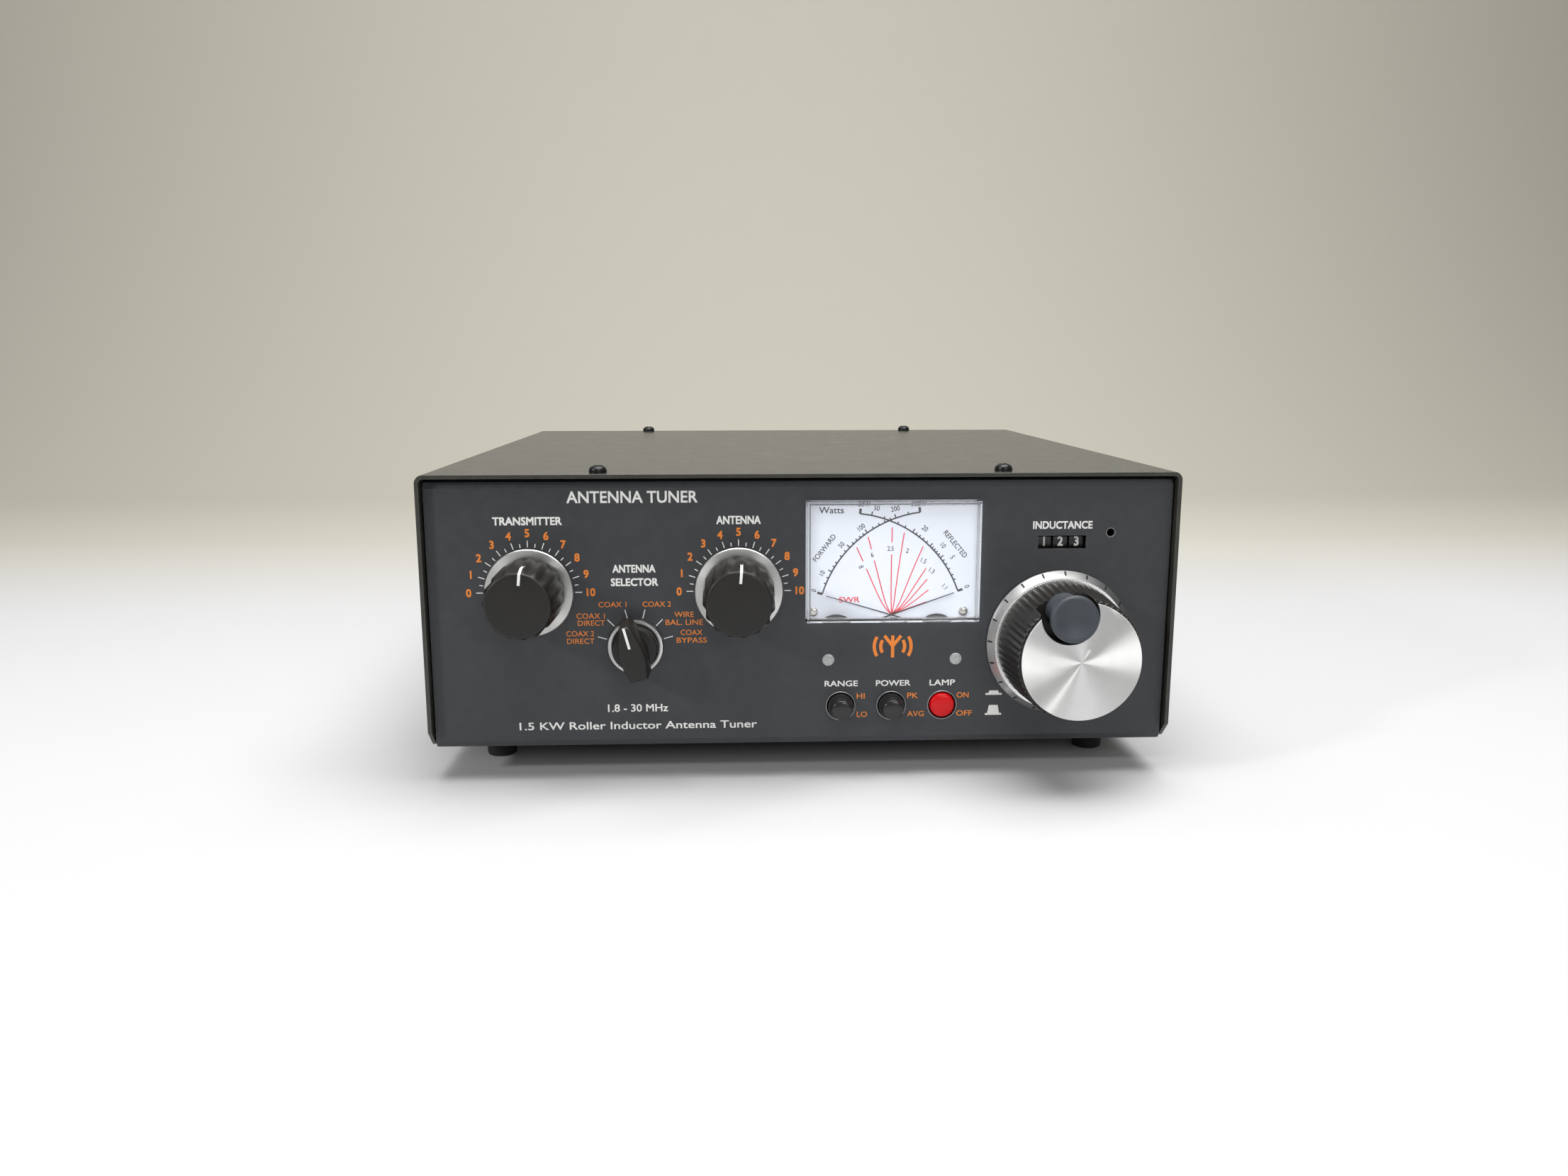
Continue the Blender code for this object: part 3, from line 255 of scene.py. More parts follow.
def lofted(rings, caps=True):
    """A skin through rings of equally many points, closed by a face at each end."""
    bm = bmesh.new()
    loops = [[bm.verts.new(point) for point in ring] for ring in rings]
    for near, far in zip(loops, loops[1:]):
        for index, corner in enumerate(near):
            after = (index + 1) % len(near)
            bm.faces.new((corner, near[after], far[after], far[index]))
    if caps:
        bm.faces.new(loops[0])
        bm.faces.new(loops[-1])
    bmesh.ops.recalc_face_normals(bm, faces=bm.faces)
    return bm


def backdrop():
    """White paper that curves up into warm grey cloth."""
    bend, wall, reach, half = 700.0, 1500.0, 1100.0, 3500.0
    outline = [(-reach, 0.0), (wall - bend, 0.0)]
    outline += [(wall - bend + bend * math.sin(a), bend - bend * math.cos(a))
                for a in (math.pi * step / 48 for step in range(1, 25))]
    outline.append((wall, 2200.0))
    bm = bmesh.new()
    left, right = [[bm.verts.new((side * half, y, z)) for y, z in outline] for side in (-1, 1)]
    for index in range(len(outline) - 1):
        bm.faces.new((left[index], right[index], right[index + 1], left[index + 1]))
    paper = finish("paper_and_cloth", (0.8, 0.8, 0.8), 0.9, size=2.0, mottling=0.02, relief=0.02)
    tree = paper.node_tree
    place = add_node(tree, "SeparateXYZ", {0: place_in(tree)})
    depth = ramp(tree, place.outputs["Y"], 0.2, 0.5)
    cloth = blend_colours(tree, depth, (0.6, 0.6, 0.61, 1.0), (0.56, 0.54, 0.47, 1.0))
    tree.links.new(cloth, tree.nodes["Principled BSDF"].inputs["Base Color"])
    return add_object("backdrop", bm, paper)


backdrop()


# ---------------------------------------------------------------------------
# Case: chassis and cover
# The chassis is one folded sheet of steel: front panel, floor and rear panel,
# in a fine charcoal paint. The cover is a folded U in a black textured coat.
cover_low, cover_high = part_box("top_cover")
chassis_low, chassis_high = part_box("chassis")
PANEL = chassis_low.y
REAR = chassis_high.y
SHEET = 1.5
joint_at = {joint["name"]: Vector(joint["pos_m"]) for joint in frame["joints"] if "pos_m" in joint}


def on_panel(x, z, proud=0.0):
    """A place on the front panel: right of the middle, and above the cover's lower edge."""
    return Vector((x * MM, PANEL - proud * MM, cover_low.z + z * MM))


def keep(material, *nodes):
    """Gives CAD nodes that stay their finish."""
    for name in nodes:
        for slot in frame["nodes"][name].material_slots:
            slot.material = material


def fitted(name, bm, material, place, body, slot, *nodes, **look):
    """A piece that rides on a body, in place of CAD nodes if any are named; its slot is not used."""
    piece = add_object(name, bm, material, place, **look)
    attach(piece, body)
    if nodes:
        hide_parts(*nodes)


panel_paint = finish("charcoal_paint", (0.027, 0.03, 0.034), 0.46, size=0.22, mottling=0.16, relief=0.012,
                     wear=((0.2, 0.2, 0.2), 0.5, 0.25), dust=0.25)
keep(panel_paint, "chassis")


def cover_sheet():
    """The U of sheet, with round bends, rounded sheet edges and cut lower corners."""
    bend, corner, steps = 3.0, 6.0, 8
    half = cover_high.x / MM
    low, top = cover_low.z / MM, cover_high.z / MM
    front, back = cover_low.y / MM, cover_high.y / MM

    def side(inset):
        arc = [((half - bend) + (bend - inset) * math.cos(a), (top - bend) + (bend - inset) * math.sin(a))
               for a in (math.pi / 2 * step / steps for step in range(steps + 1))]
        return [(half - inset, low)] + arc

    outer, inner = side(0.0), side(SHEET)
    outline = outer + [(-x, z) for x, z in outer[::-1]] + [(-x, z) for x, z in inner] + inner[::-1]
    rings = []
    for y, lift in ((front, corner), (front + corner, 0.0), (back - corner, 0.0), (back, corner)):
        rings.append([(x, y, z + lift if z == low else z) for x, z in outline])
    return lofted(rings)


black_coat = finish("black_textured_coat", (0.03, 0.029, 0.024), 0.29, size=0.55, mottling=0.25, relief=0.03,
                    wear=((0.11, 0.11, 0.1), 0.8, 0.5), dust=0.5)
fitted("cover", cover_sheet(), black_coat, (0.0, 0.0, 0.0), "case", "cover_coat", "top_cover",
       bevel=0.22, smooth=30.0)


# ---------------------------------------------------------------------------
# Cover screws and feet
# Black oxide pan-head screws with a cross recess go through the cover into the
# chassis flanges. The feet are moulded rubber, each on a screw from inside.
def tilted(bm, degrees, axis="X"):
    bmesh.ops.rotate(bm, matrix=Matrix.Rotation(math.radians(degrees), 3, axis), verts=bm.verts)
    return bm


def turned(profile, steps=48, axis="Y"):
    """A turned skin from (radius, place along the axis)."""
    bm = bmesh.new()
    circles = []
    for radius, along in profile:
        angles = [math.tau * step / steps for step in range(steps if radius > 0 else 1)]
        circles.append([bm.verts.new((radius * math.cos(a), radius * math.sin(a), along)) for a in angles])
    for near, far in zip(circles, circles[1:]):
        for step in range(steps):
            after = (step + 1) % steps
            corners = [ring[index % len(ring)] for ring, index in (
                (near, step), (near, after), (far, after), (far, step))]
            bm.faces.new(list(dict.fromkeys(corners)))
    if axis == "Y":
        tilted(bm, 90.0)
    bmesh.ops.recalc_face_normals(bm, faces=bm.faces)
    return bm


def merged(*parts):
    """Meshes put together in the first one."""
    whole = parts[0]
    for part in parts[1:]:
        mesh = bpy.data.meshes.new("part")
        part.to_mesh(mesh)
        part.free()
        whole.from_mesh(mesh)
        bpy.data.meshes.remove(mesh)
    return whole


def moved(bm, x=0.0, y=0.0, z=0.0):
    bmesh.ops.translate(bm, vec=(x, y, z), verts=bm.verts)
    return bm


def arc(x, z, radius, start, end, steps):
    """Points of a round stretch, with angles in degrees from +X towards +Z."""
    angles = [math.radians(start + (end - start) * step / steps) for step in range(steps + 1)]
    return [(x + radius * math.cos(a), z + radius * math.sin(a)) for a in angles]


def block(low, high):
    corners = [(low[0], low[1]), (high[0], low[1]), (high[0], high[1]), (low[0], high[1])]
    return lofted([[(x, y, z) for x, y in corners] for z in (low[2], high[2])])


def carved(bm, cutter):
    """A mesh less the solid of a cutter."""
    names = ("work", "cutter")
    work, tool = [bpy.data.objects.new(name, bpy.data.meshes.new(name)) for name in names]
    for item, source in ((work, bm), (tool, cutter)):
        source.to_mesh(item.data)
        bpy.context.scene.collection.objects.link(item)
    step = work.modifiers.new("cut", "BOOLEAN")
    step.operation = "DIFFERENCE"
    step.solver = "EXACT"
    step.use_self = True
    step.object = tool
    bpy.context.view_layer.update()
    cut = bpy.data.meshes.new_from_object(work.evaluated_get(bpy.context.evaluated_depsgraph_get()))
    bm.clear()
    bm.from_mesh(cut)
    cutter.free()
    for item in (work, tool):
        bpy.data.meshes.remove(item.data)
    bpy.data.meshes.remove(cut)
    return bm


def cross_screw(radius, height, recess):
    """A pan head with a rounded top and a cross recess, up along Z, with its seat at zero."""
    rim = 0.35 * height
    dome = [(0.0, 0.0), (radius, 0.0), (radius, rim)]
    dome += [(radius * math.cos(a), rim + (height - rim) * math.sin(a))
             for a in (math.pi / 2 * step / 8 for step in range(1, 8))]
    head = turned(dome + [(0.0, height)], 32, "Z")
    half = 0.14 * radius
    slots = [block((-recess, -half, 0.5 * height), (recess, half, 2 * height)),
             block((-half, -recess, 0.5 * height), (half, recess, 2 * height))]
    for slot in slots:
        head = carved(head, slot)
    return head


screw_black = finish("black_oxide", (0.02, 0.02, 0.021), 0.26, size=0.5, mottling=0.15, relief=0.004,
                     wear=((0.3, 0.29, 0.27), 0.6, 0.2), dust=0.3, Metallic=0.6)
foot_rubber = finish("foot_rubber", (0.012, 0.012, 0.012), 0.7, size=0.5, mottling=0.2, relief=0.02, dust=0.3)
for number in (1, 2, 3, 4):
    low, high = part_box(f"cover_screw_{number}")
    middle = (low + high) / 2
    seat = (middle.x, middle.y, cover_high.z + 0.00005)
    fitted(f"screw_head_{number}", cross_screw(3.2, (high.z - seat[2]) / MM, 1.9), screw_black, seat,
           "case", "black_screw", f"cover_screw_{number}")

    low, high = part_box(f"foot_{number}")
    middle = (low + high) / 2
    radius, seat = (high.x - low.x) / 2 / MM, chassis_low.z / MM - 0.05
    side = [(0.0, 3.5), (2.2, 3.5), (2.2, 0.0), (radius - 1.6, 0.0)]
    side += arc(radius - 1.5, 0.8, 0.8, -90.0, 0.0, 4)
    side += [(radius, seat - 0.6), (radius - 0.5, seat), (0.0, seat)]
    fitted(f"rubber_foot_{number}", turned(side, 40, "Z"), foot_rubber, (middle.x, middle.y, 0.0),
           "case", "rubber", f"foot_{number}")


# ---------------------------------------------------------------------------
# Panel print
# White and orange ink screened on the paint: title, control names, tuning and
# selector scales, switch positions, and the sign for a button in and out.
PRINT_THICKNESS = 0.03
TUNING_NAMES = ("transmitter", "antenna")
TUNING_SCALE = 18.0         # degrees from one number to the next
SELECTOR_TICKS = (-75, -45, -15, 15, 45, 75)
TICK_WIDTH = 0.32
CAPTION, PLAIN, THIN = 0.03, 0.014, 0.004       # how far the letters are spread to make them bold
panel_x = {name: joint_at[f"{name}_turn"].x / MM for name in (*TUNING_NAMES, "selector", "inductor")}
panel_z = {name: (joint_at[f"{name}_turn"].z - cover_low.z) / MM for name in panel_x}


def lettering(text, bold):
    """Flat letters from the built-in typeface, made bolder by joining four shifted copies."""
    curve = bpy.data.curves.new("letters", "FONT")
    curve.body = text
    curve.resolution_u = 3
    shown = bpy.data.objects.new("letters", curve)
    bpy.context.scene.collection.objects.link(shown)
    bpy.context.view_layer.update()
    mesh = bpy.data.meshes.new_from_object(shown.evaluated_get(bpy.context.evaluated_depsgraph_get()))
    filled = [polygon.vertices[:] for polygon in mesh.polygons if polygon.area > 1e-7]
    points, faces = [], []
    for shift in ((-bold, -bold), (bold, -bold), (bold, bold), (-bold, bold)):
        first = len(points)
        points += [vertex.co.xy + Vector(shift) for vertex in mesh.vertices]
        faces += [[first + index for index in face] for face in filled]
    bpy.data.meshes.remove(mesh)
    bpy.data.curves.remove(curve)
    printed_on = BVHTree.FromPolygons([point.to_3d() for point in points], faces)
    places, _, joined, *_ = delaunay_2d_cdt(points, [], faces, 1, 1e-5)
    bm = bmesh.new()
    corners = [bm.verts.new(place.to_3d()) for place in places]
    for face in joined:
        middle = sum((places[index].to_3d() for index in face), Vector()) / len(face)
        if printed_on.ray_cast(middle + Vector((0.0, 0.0, 1.0)), Vector((0.0, 0.0, -1.0)))[0]:
            bm.faces.new([corners[index] for index in face])
    bmesh.ops.delete(bm, geom=[corner for corner in corners if not corner.link_faces], context="VERTS")
    return bm


def span(bm, axis):
    places = [vertex.co[axis] for vertex in bm.verts]
    return min(places), max(places)


def words(text, left, right, base, top, bold):
    """Capitals fitted between two sides and two heights."""
    bm = lettering(text, bold)
    for axis, low, high in ((0, left, right), (1, base, top)):
        first, last = span(bm, axis)
        for vertex in bm.verts:
            vertex.co[axis] = low + (vertex.co[axis] - first) * (high - low) / (last - first)
    return bm


def label(text, x, z, height, squeeze=0.9, bold=PLAIN, turn=0.0):
    """Words centred on a place, turned anticlockwise by degrees."""
    bm = lettering(text, bold)
    (left, right), (low, high) = span(bm, 0), span(bm, 1)
    scale = height / 0.7
    moved(bm, -(left + right) / 2, -(low + high) / 2)
    bmesh.ops.scale(bm, vec=(scale * squeeze, scale, 1.0), verts=bm.verts)
    return moved(tilted(bm, turn, "Z"), x, z)


def ribbon(points, width):
    """A flat band of one width along a line of points."""
    bm = bmesh.new()
    sides = []
    for index, point in enumerate(points):
        before, after = points[max(index - 1, 0)], points[min(index + 1, len(points) - 1)]
        run = math.atan2(after[1] - before[1], after[0] - before[0])
        dx, dz = -math.sin(run) * width / 2, math.cos(run) * width / 2
        sides.append([bm.verts.new((point[0] + way * dx, point[1] + way * dz, 0.0)) for way in (-1, 1)])
    for near, far in zip(sides, sides[1:]):
        bm.faces.new((near[0], far[0], far[1], near[1]))
    return bm


def patch(points):
    """A flat shape from its outline."""
    bm = bmesh.new()
    bm.faces.new([bm.verts.new((x, z, 0.0)) for x, z in points])
    return bm


def ray(x, z, clockwise, start, end, width):
    """A tick that points away from a centre, at degrees clockwise from straight up."""
    a = math.radians(90.0 - clockwise)
    return ribbon([(x + r * math.cos(a), z + r * math.sin(a)) for r in (start, end)], width)


def printed(marks):
    """Flat marks as one upright mesh that faces the front."""
    return tilted(merged(*marks), 90.0)


def aerial_sign(x, z):
    """A mast with its arms, and radio waves on both sides."""
    half = [(0.6, -4.2), (0.6, -0.1), (3.5, 3.6), (2.6, 4.4), (0.6, 1.8), (0.6, 4.1)]
    marks = [patch([(x + a, z + b) for a, b in half] + [(x - a, z + b) for a, b in reversed(half)])]
    for radius in (4.4, 6.8):
        for middle in (0.0, 180.0):
            marks.append(ribbon(arc(x, z, radius, middle - 32.0, middle + 32.0, 12), 1.2))
    return marks


def tuning_scale(x, z):
    """Ticks round the top half of a skirt, a long one at each number."""
    marks = []
    for step in range(21):
        end = 17.9 if step % 2 else 18.9
        marks.append(ray(x, z, step * TUNING_SCALE / 2 - 90.0, 16.5, end, TICK_WIDTH))
    return marks


def tuning_numbers(x, z):
    marks = []
    for number in range(11):
        a = math.radians(180.0 - TUNING_SCALE * number)
        out = 21.6 + 0.5 * (number == 10)
        marks.append(label(str(number), x + out * math.cos(a), z + out * math.sin(a), 2.8, 0.95, CAPTION))
    return marks


# Each line of print: text, its left and right sides, its base and top, and how bold it is.
WHITE_WORDS = (
    ("ANTENNA TUNER", -84.0, -37.5, 89.3, 93.6, 0.016), ("TRANSMITTER", -110.5, -85.9, 81.5, 84.5, CAPTION),
    ("ANTENNA", -30.9, -15.0, 81.5, 84.5, CAPTION), ("ANTENNA", -68.4, -53.0, 64.1, 67.0, CAPTION),
    ("SELECTOR", -69.1, -52.1, 59.2, 62.1, CAPTION), ("1.8 - 30 MHz", -71.4, -49.4, 12.2, 15.1, PLAIN),
    ("1.5 KW Roller Inductor Antenna Tuner", -103.9, -16.7, 5.6, 8.5, 0.01),
    ("INDUCTANCE", 83.7, 105.5, 79.0, 81.9, CAPTION), ("RANGE", 8.3, 20.6, 20.9, 23.1, PLAIN),
    ("POWER", 27.3, 40.1, 20.9, 23.1, PLAIN), ("LAMP", 47.2, 56.7, 20.9, 23.1, PLAIN))
ORANGE_WORDS = (
    ("COAX 1", -73.75, -63.7, 51.5, 53.5, THIN), ("COAX 2", -57.9, -47.6, 51.5, 53.5, THIN),
    ("COAX 1", -81.8, -71.6, 47.3, 49.3, THIN), ("DIRECT", -81.4, -71.6, 44.7, 46.7, THIN),
    ("COAX 2", -85.7, -75.6, 40.8, 42.8, THIN), ("DIRECT", -85.5, -75.6, 38.0, 40.0, THIN),
    ("WIRE", -46.5, -39.4, 47.6, 49.6, THIN), ("BAL. LINE", -49.7, -36.1, 44.7, 46.7, THIN),
    ("COAX", -44.3, -36.4, 40.9, 42.9, THIN), ("BYPASS", -45.8, -34.8, 38.0, 40.0, THIN),
    ("HI", 20.2, 23.2, 16.1, 18.2, 0.008), ("LO", 20.3, 24.2, 9.1, 11.2, 0.008),
    ("PK", 39.0, 43.0, 16.1, 18.2, 0.008), ("AVG", 39.1, 45.3, 9.1, 11.2, 0.008),
    ("ON", 57.4, 61.9, 16.1, 18.2, 0.008), ("OFF", 57.4, 63.3, 9.1, 11.2, 0.008))

white = [words(*line) for line in WHITE_WORDS]
for bar, cap_top, slope in ((17.0, 18.7, 0.3), (9.3, 13.1, 0.6)):
    white.append(ribbon([(68.2, bar + 0.35), (74.3, bar + 0.35)], 0.7))
    cap_foot = bar + 0.7
    white.append(patch([(69.6 - slope, cap_foot), (72.9 + slope, cap_foot),
                        (72.9, cap_top), (69.6, cap_top)]))
for name in TUNING_NAMES:
    white += tuning_scale(panel_x[name], panel_z[name])
for angle in SELECTOR_TICKS:
    white.append(ray(panel_x["selector"], panel_z["selector"], angle, 10.7, 14.1, TICK_WIDTH))

orange = [words(*line) for line in ORANGE_WORDS] + aerial_sign(33.3, 35.9)
for name in TUNING_NAMES:
    orange += tuning_numbers(panel_x[name], panel_z[name])
white_ink = finish("white_ink", (0.72, 0.72, 0.7), 0.5, size=0.15, mottling=0.06, relief=0.004)
orange_ink = finish("orange_ink", (0.72, 0.2, 0.02), 0.5, size=0.15, mottling=0.08, relief=0.004)
for name, marks, ink in (("print_white", white, white_ink), ("print_orange", orange, orange_ink)):
    fitted(name, printed(marks), ink, on_panel(0.0, 0.0, PRINT_THICKNESS), "case", "panel_paint",
           smooth=0.0)


# ---------------------------------------------------------------------------
# Tuning knobs
# Moulded black phenolic with wide flutes, a white line over the side, chamfer
# and face, and a spun aluminium skirt behind that turns with the knob.
def fluted(radius, depth, flutes, along, steps=14):
    """One ring of a knob whose side has round flutes, with a crest at the top."""
    ring = []
    for index in range(flutes * steps):
        angle = math.tau * index / (flutes * steps)
        reach = radius - depth * (0.5 - 0.5 * math.cos(flutes * angle))
        ring.append((reach * math.sin(angle), -along, reach * math.cos(angle)))
    return ring


def spun_group():
    """Fine turning lines round the Y axis: a wandering roughness and a faint relief."""
    tree, given, made = new_group(
        "spun", {"Roughness": ("NodeSocketFloat", 0.3), "Pitch": ("NodeSocketFloat", 0.15)},
        {"Roughness": "NodeSocketFloat", "Normal": "NodeSocketVector"})
    place = add_node(tree, "SeparateXYZ", {0: place_in(tree)})
    squares = [math_node(tree, "POWER", place.outputs[axis], 2.0) for axis in "XZ"]
    out = math_node(tree, "SQRT", math_node(tree, "ADD", *squares))
    lines = add_node(tree, "TexNoise", {
        "W": out, "Scale": math_node(tree, "DIVIDE", 1.0 / MM, given["Pitch"]), "Detail": 3.0},
        noise_dimensions="1D")
    change = math_node(tree, "MULTIPLY_ADD", lines.outputs[0], 0.7, 0.65)
    tree.links.new(math_node(tree, "MULTIPLY", change, given["Roughness"]), made["Roughness"])
    bump = add_node(tree, "Bump", {"Height": lines.outputs[0], "Distance": 0.0007 * MM})
    tree.links.new(bump.outputs[0], made["Normal"])
    return tree


SPUN = spun_group()


def spun_metal(name, colour, roughness, pitch=0.15, anisotropic=0.9):
    """Turned metal whose highlights fan out from its axis."""
    sockets = {"Metallic": 1.0, "Anisotropic": anisotropic}
    made, shader, grain = grained(name, colour, sockets, Size=0.3, Mottling=0.04)
    tree = made.node_tree
    lines = use_group(tree, SPUN, Roughness=roughness, Pitch=pitch)
    tangent = add_node(tree, "Tangent", direction_type="RADIAL", axis="Y")
    for socket, value in (("Tangent", tangent.outputs[0]), ("Base Color", grain["Colour"]),
                          ("Roughness", lines["Roughness"]), ("Normal", lines["Normal"])):
        tree.links.new(value, shader.inputs[socket])
    return made


def knob_line(profile, width, proud=0.04):
    """A line of ink over a knob's profile, straight up from its axis."""
    bm = bmesh.new()
    pairs = [[bm.verts.new((way * width / 2, -along - proud, out + proud)) for way in (-1, 1)]
             for out, along in profile]
    for near, far in zip(pairs, pairs[1:]):
        bm.faces.new((near[0], near[1], far[1], far[0]))
    return bm


knob_plastic = finish("knob_plastic", (0.009, 0.008, 0.007), 0.4, size=0.3, mottling=0.2, relief=0.008,
                      wear=((0.1, 0.09, 0.08), 0.5, 0.3), dust=0.3, Specular_IOR_Level=0.4)
skirt_metal = spun_metal("spun_skirt", (0.55, 0.55, 0.54), 0.34)
KNOB_SIDE = ((12.6, 2.1), (13.0, 2.5), (12.62, 21.8), (12.5, 22.2))
KNOB_TOP = ((11.45, 25.0), (11.2, 25.3), (10.8, 25.46), (10.3, 25.5))
for name, rest in (("transmitter", 6.0), ("antenna", 4.5)):
    place = joint_at[f"{name}_turn"]
    rings = [fluted(radius, 0.95, 15, along) for radius, along in KNOB_SIDE]
    rings += [fluted(radius, 0.0, 15, along) for radius, along in KNOB_TOP]
    fitted(f"{name}_knob_body", lofted(rings), knob_plastic, place, f"{name}_tuning", "black_plastic",
           f"{name}_knob", turn=rest, smooth=40.0)
    line = knob_line([(12.62, 16.5), (12.62, 21.9), (11.25, 25.35), (10.9, 25.5), (7.2, 25.5)], 0.95)
    fitted(f"{name}_knob_line", line, white_ink, place, f"{name}_tuning", "black_plastic", turn=rest)
    edge = [(3.5, 0.6), (15.8, 0.6), (16.0, 0.8), (16.0, 1.5), (15.7, 1.8), (3.5, 1.8), (3.5, 0.6)]
    fitted(f"{name}_knob_skirt", turned(edge, 96), skirt_metal, place, f"{name}_tuning",
           "satin_aluminium", f"{name}_skirt")


# ---------------------------------------------------------------------------
# Selector knob
# A moulded pointer knob: round foot, bar handle with a blade of a tip, and a
# white line down the tip. A bright turned ring sits round its foot.
def handle_outline(grow):
    """The bar seen from the front: straight tail, round cheeks, narrow tip."""
    tail, tip = 9.5 + grow, 11.5 + grow
    half = ((3.4, -tail), (4.6, -4.0), (5.0, -1.0), (4.8, 2.0), (4.0, 5.5), (2.4, 10.2), (1.6, tip))
    right = [(x + grow, z) for x, z in half]
    return right + [(-x, z) for x, z in right[::-1]]


def selector_body():
    foot = [(0.0, 0.6), (8.2, 0.6), (8.2, 5.2), (7.9, 5.8), (7.2, 6.0), (0.0, 6.0)]
    bar = [(-0.1, 3.0), (0.0, 5.0), (-0.25, 15.6), (-0.5, 16.5), (-1.0, 17.0)]
    rings = [[(x, -along, z) for x, z in handle_outline(grow)] for grow, along in bar]
    return merged(turned(foot, 64), lofted(rings))


selector_at = joint_at["selector_turn"]
fitted("selector_handle", selector_body(), knob_plastic, selector_at, "selector", "black_plastic",
       "selector_knob", turn=-15.0, bevel=0.25, smooth=30.0)
line = knob_line([(11.15, 8.0), (11.15, 15.6), (10.6, 16.9), (10.2, 17.0), (3.0, 17.0)], 0.9)
fitted("selector_line", line, white_ink, selector_at, "selector", "black_plastic", turn=-15.0)
edge = [(8.5, 0.1), (10.3, 0.1), (10.3, 1.2), (9.9, 1.9), (9.2, 2.1), (8.5, 1.9), (8.5, 0.1)]
fitted("selector_ring", turned(edge, 96), skirt_metal, selector_at, "selector", "satin_aluminium")


# ---------------------------------------------------------------------------
# Inductor knob
# A turned aluminium dial with twenty black ticks and a knurled lip, a moulded
# black body with fine flutes, a spun aluminium face and a rubber finger rest.
CRANK_FACE = 31.4
crank_at = joint_at["inductor_turn"]
spinner_at = joint_at["spinner_turn"]
bite_x = (spinner_at.x - crank_at.x) / MM
bite_z = (spinner_at.z - crank_at.z) / MM
BITE_RADIUS = 10.0
dial_metal = spun_metal("dial_metal", (0.9, 0.9, 0.89), 0.34, pitch=0.25, anisotropic=0.6)
face_metal = spun_metal("spun_face", (0.78, 0.78, 0.77), 0.4, pitch=0.12, anisotropic=1.0)

edge = [(3.5, 0.6), (26.5, 0.6), (26.8, 0.8), (26.8, 1.6), (24.5, 4.8), (3.5, 4.8), (3.5, 0.6)]
fitted("crank_dial", turned(edge, 160), dial_metal, crank_at, "inductor", "satin_aluminium",
       "inductor_dial_skirt")
sides = ((24.0, 4.8), (24.3, 5.0), (24.2, 5.6))
lip = lofted([fluted(radius, 0.3, 150, along, 4) for radius, along in sides])
fitted("crank_dial_lip", lip, dial_metal, crank_at, "inductor", "satin_aluminium")


def dial_ticks(count, first):
    """Lines up the slope of the dial, evenly round it."""
    marks = []
    for index in range(count):
        mark = knob_line([(26.6, 1.88), (25.3, 3.69)], 0.65, 0.03)
        marks.append(tilted(mark, first + index * 360.0 / count, "Y"))
    return merged(*marks)


black_ink = finish("black_ink", (0.015, 0.015, 0.015), 0.5, size=0.15, mottling=0.1, relief=0.004)
fitted("crank_dial_ticks", dial_ticks(20, 2.0), black_ink, crank_at, "inductor", "satin_aluminium")

sides = ((23.2, 5.9), (23.5, 6.3), (22.1, 28.6), (21.95, 29.2), (21.6, 29.5))
body = lofted([fluted(radius, 0.55, 60, along, 8) for radius, along in sides])
pocket = turned([(0.0, 21.4), (BITE_RADIUS, 21.4), (BITE_RADIUS, 40.0), (0.0, 40.0)], 64)
body = carved(body, moved(pocket, bite_x, 0.0, bite_z))
fitted("crank_body", body, knob_plastic, crank_at, "inductor", "black_plastic", "inductor_knob",
       smooth=30.0)


def bitten_disc(radius):
    """A disc's outline with the finger rest's round bite, from one corner of the bite to the other."""
    far = math.hypot(bite_x, bite_z)
    bearing = math.degrees(math.atan2(bite_z, bite_x))
    half = math.degrees(math.acos((radius**2 + far**2 - BITE_RADIUS**2) / (2 * radius * far)))
    inner = math.degrees(math.acos((far**2 + BITE_RADIUS**2 - radius**2) / (2 * far * BITE_RADIUS)))
    rim = arc(0.0, 0.0, radius, bearing + half, bearing + 360.0 - half, 120)
    cut = arc(bite_x, bite_z, BITE_RADIUS, bearing + 180.0 - inner, bearing + 180.0 + inner, 60)
    return rim + cut[::-1][1:-1]


outline = bitten_disc(21.0)
face = lofted([[(x, -along, z) for x, z in outline] for along in (29.8, CRANK_FACE)])
fitted("crank_face", face, face_metal, crank_at, "inductor", "satin_aluminium", "inductor_knob_face",
       bevel=0.25, smooth=30.0)

finger_rubber = finish("finger_rubber", (0.038, 0.046, 0.057), 0.5, size=0.35, mottling=0.15, relief=0.02,
                       wear=((0.11, 0.12, 0.13), 0.4, 0.5), dust=0.3)
top = CRANK_FACE + 6.0
rest = [(0.0, 14.5), (2.5, 14.5), (2.5, 21.7), (6.2, 21.7), (6.5, 22.0), (6.6, top - 7.0), (7.4, top - 5.6)]
rest += [(7.1 + 1.2 * math.cos(a), top - 1.4 + 1.4 * math.sin(a))
         for a in (math.pi * step / 12 for step in range(-5, 7))]
rest += [(6.0, top - 0.35), (4.6, top - 1.0), (2.6, top - 1.45), (0.0, top - 1.6)]
fitted("finger_rest", turned(rest, 64), finger_rubber, (spinner_at.x, PANEL, spinner_at.z),
       "finger_spinner", "finger_rubber", "spinner")


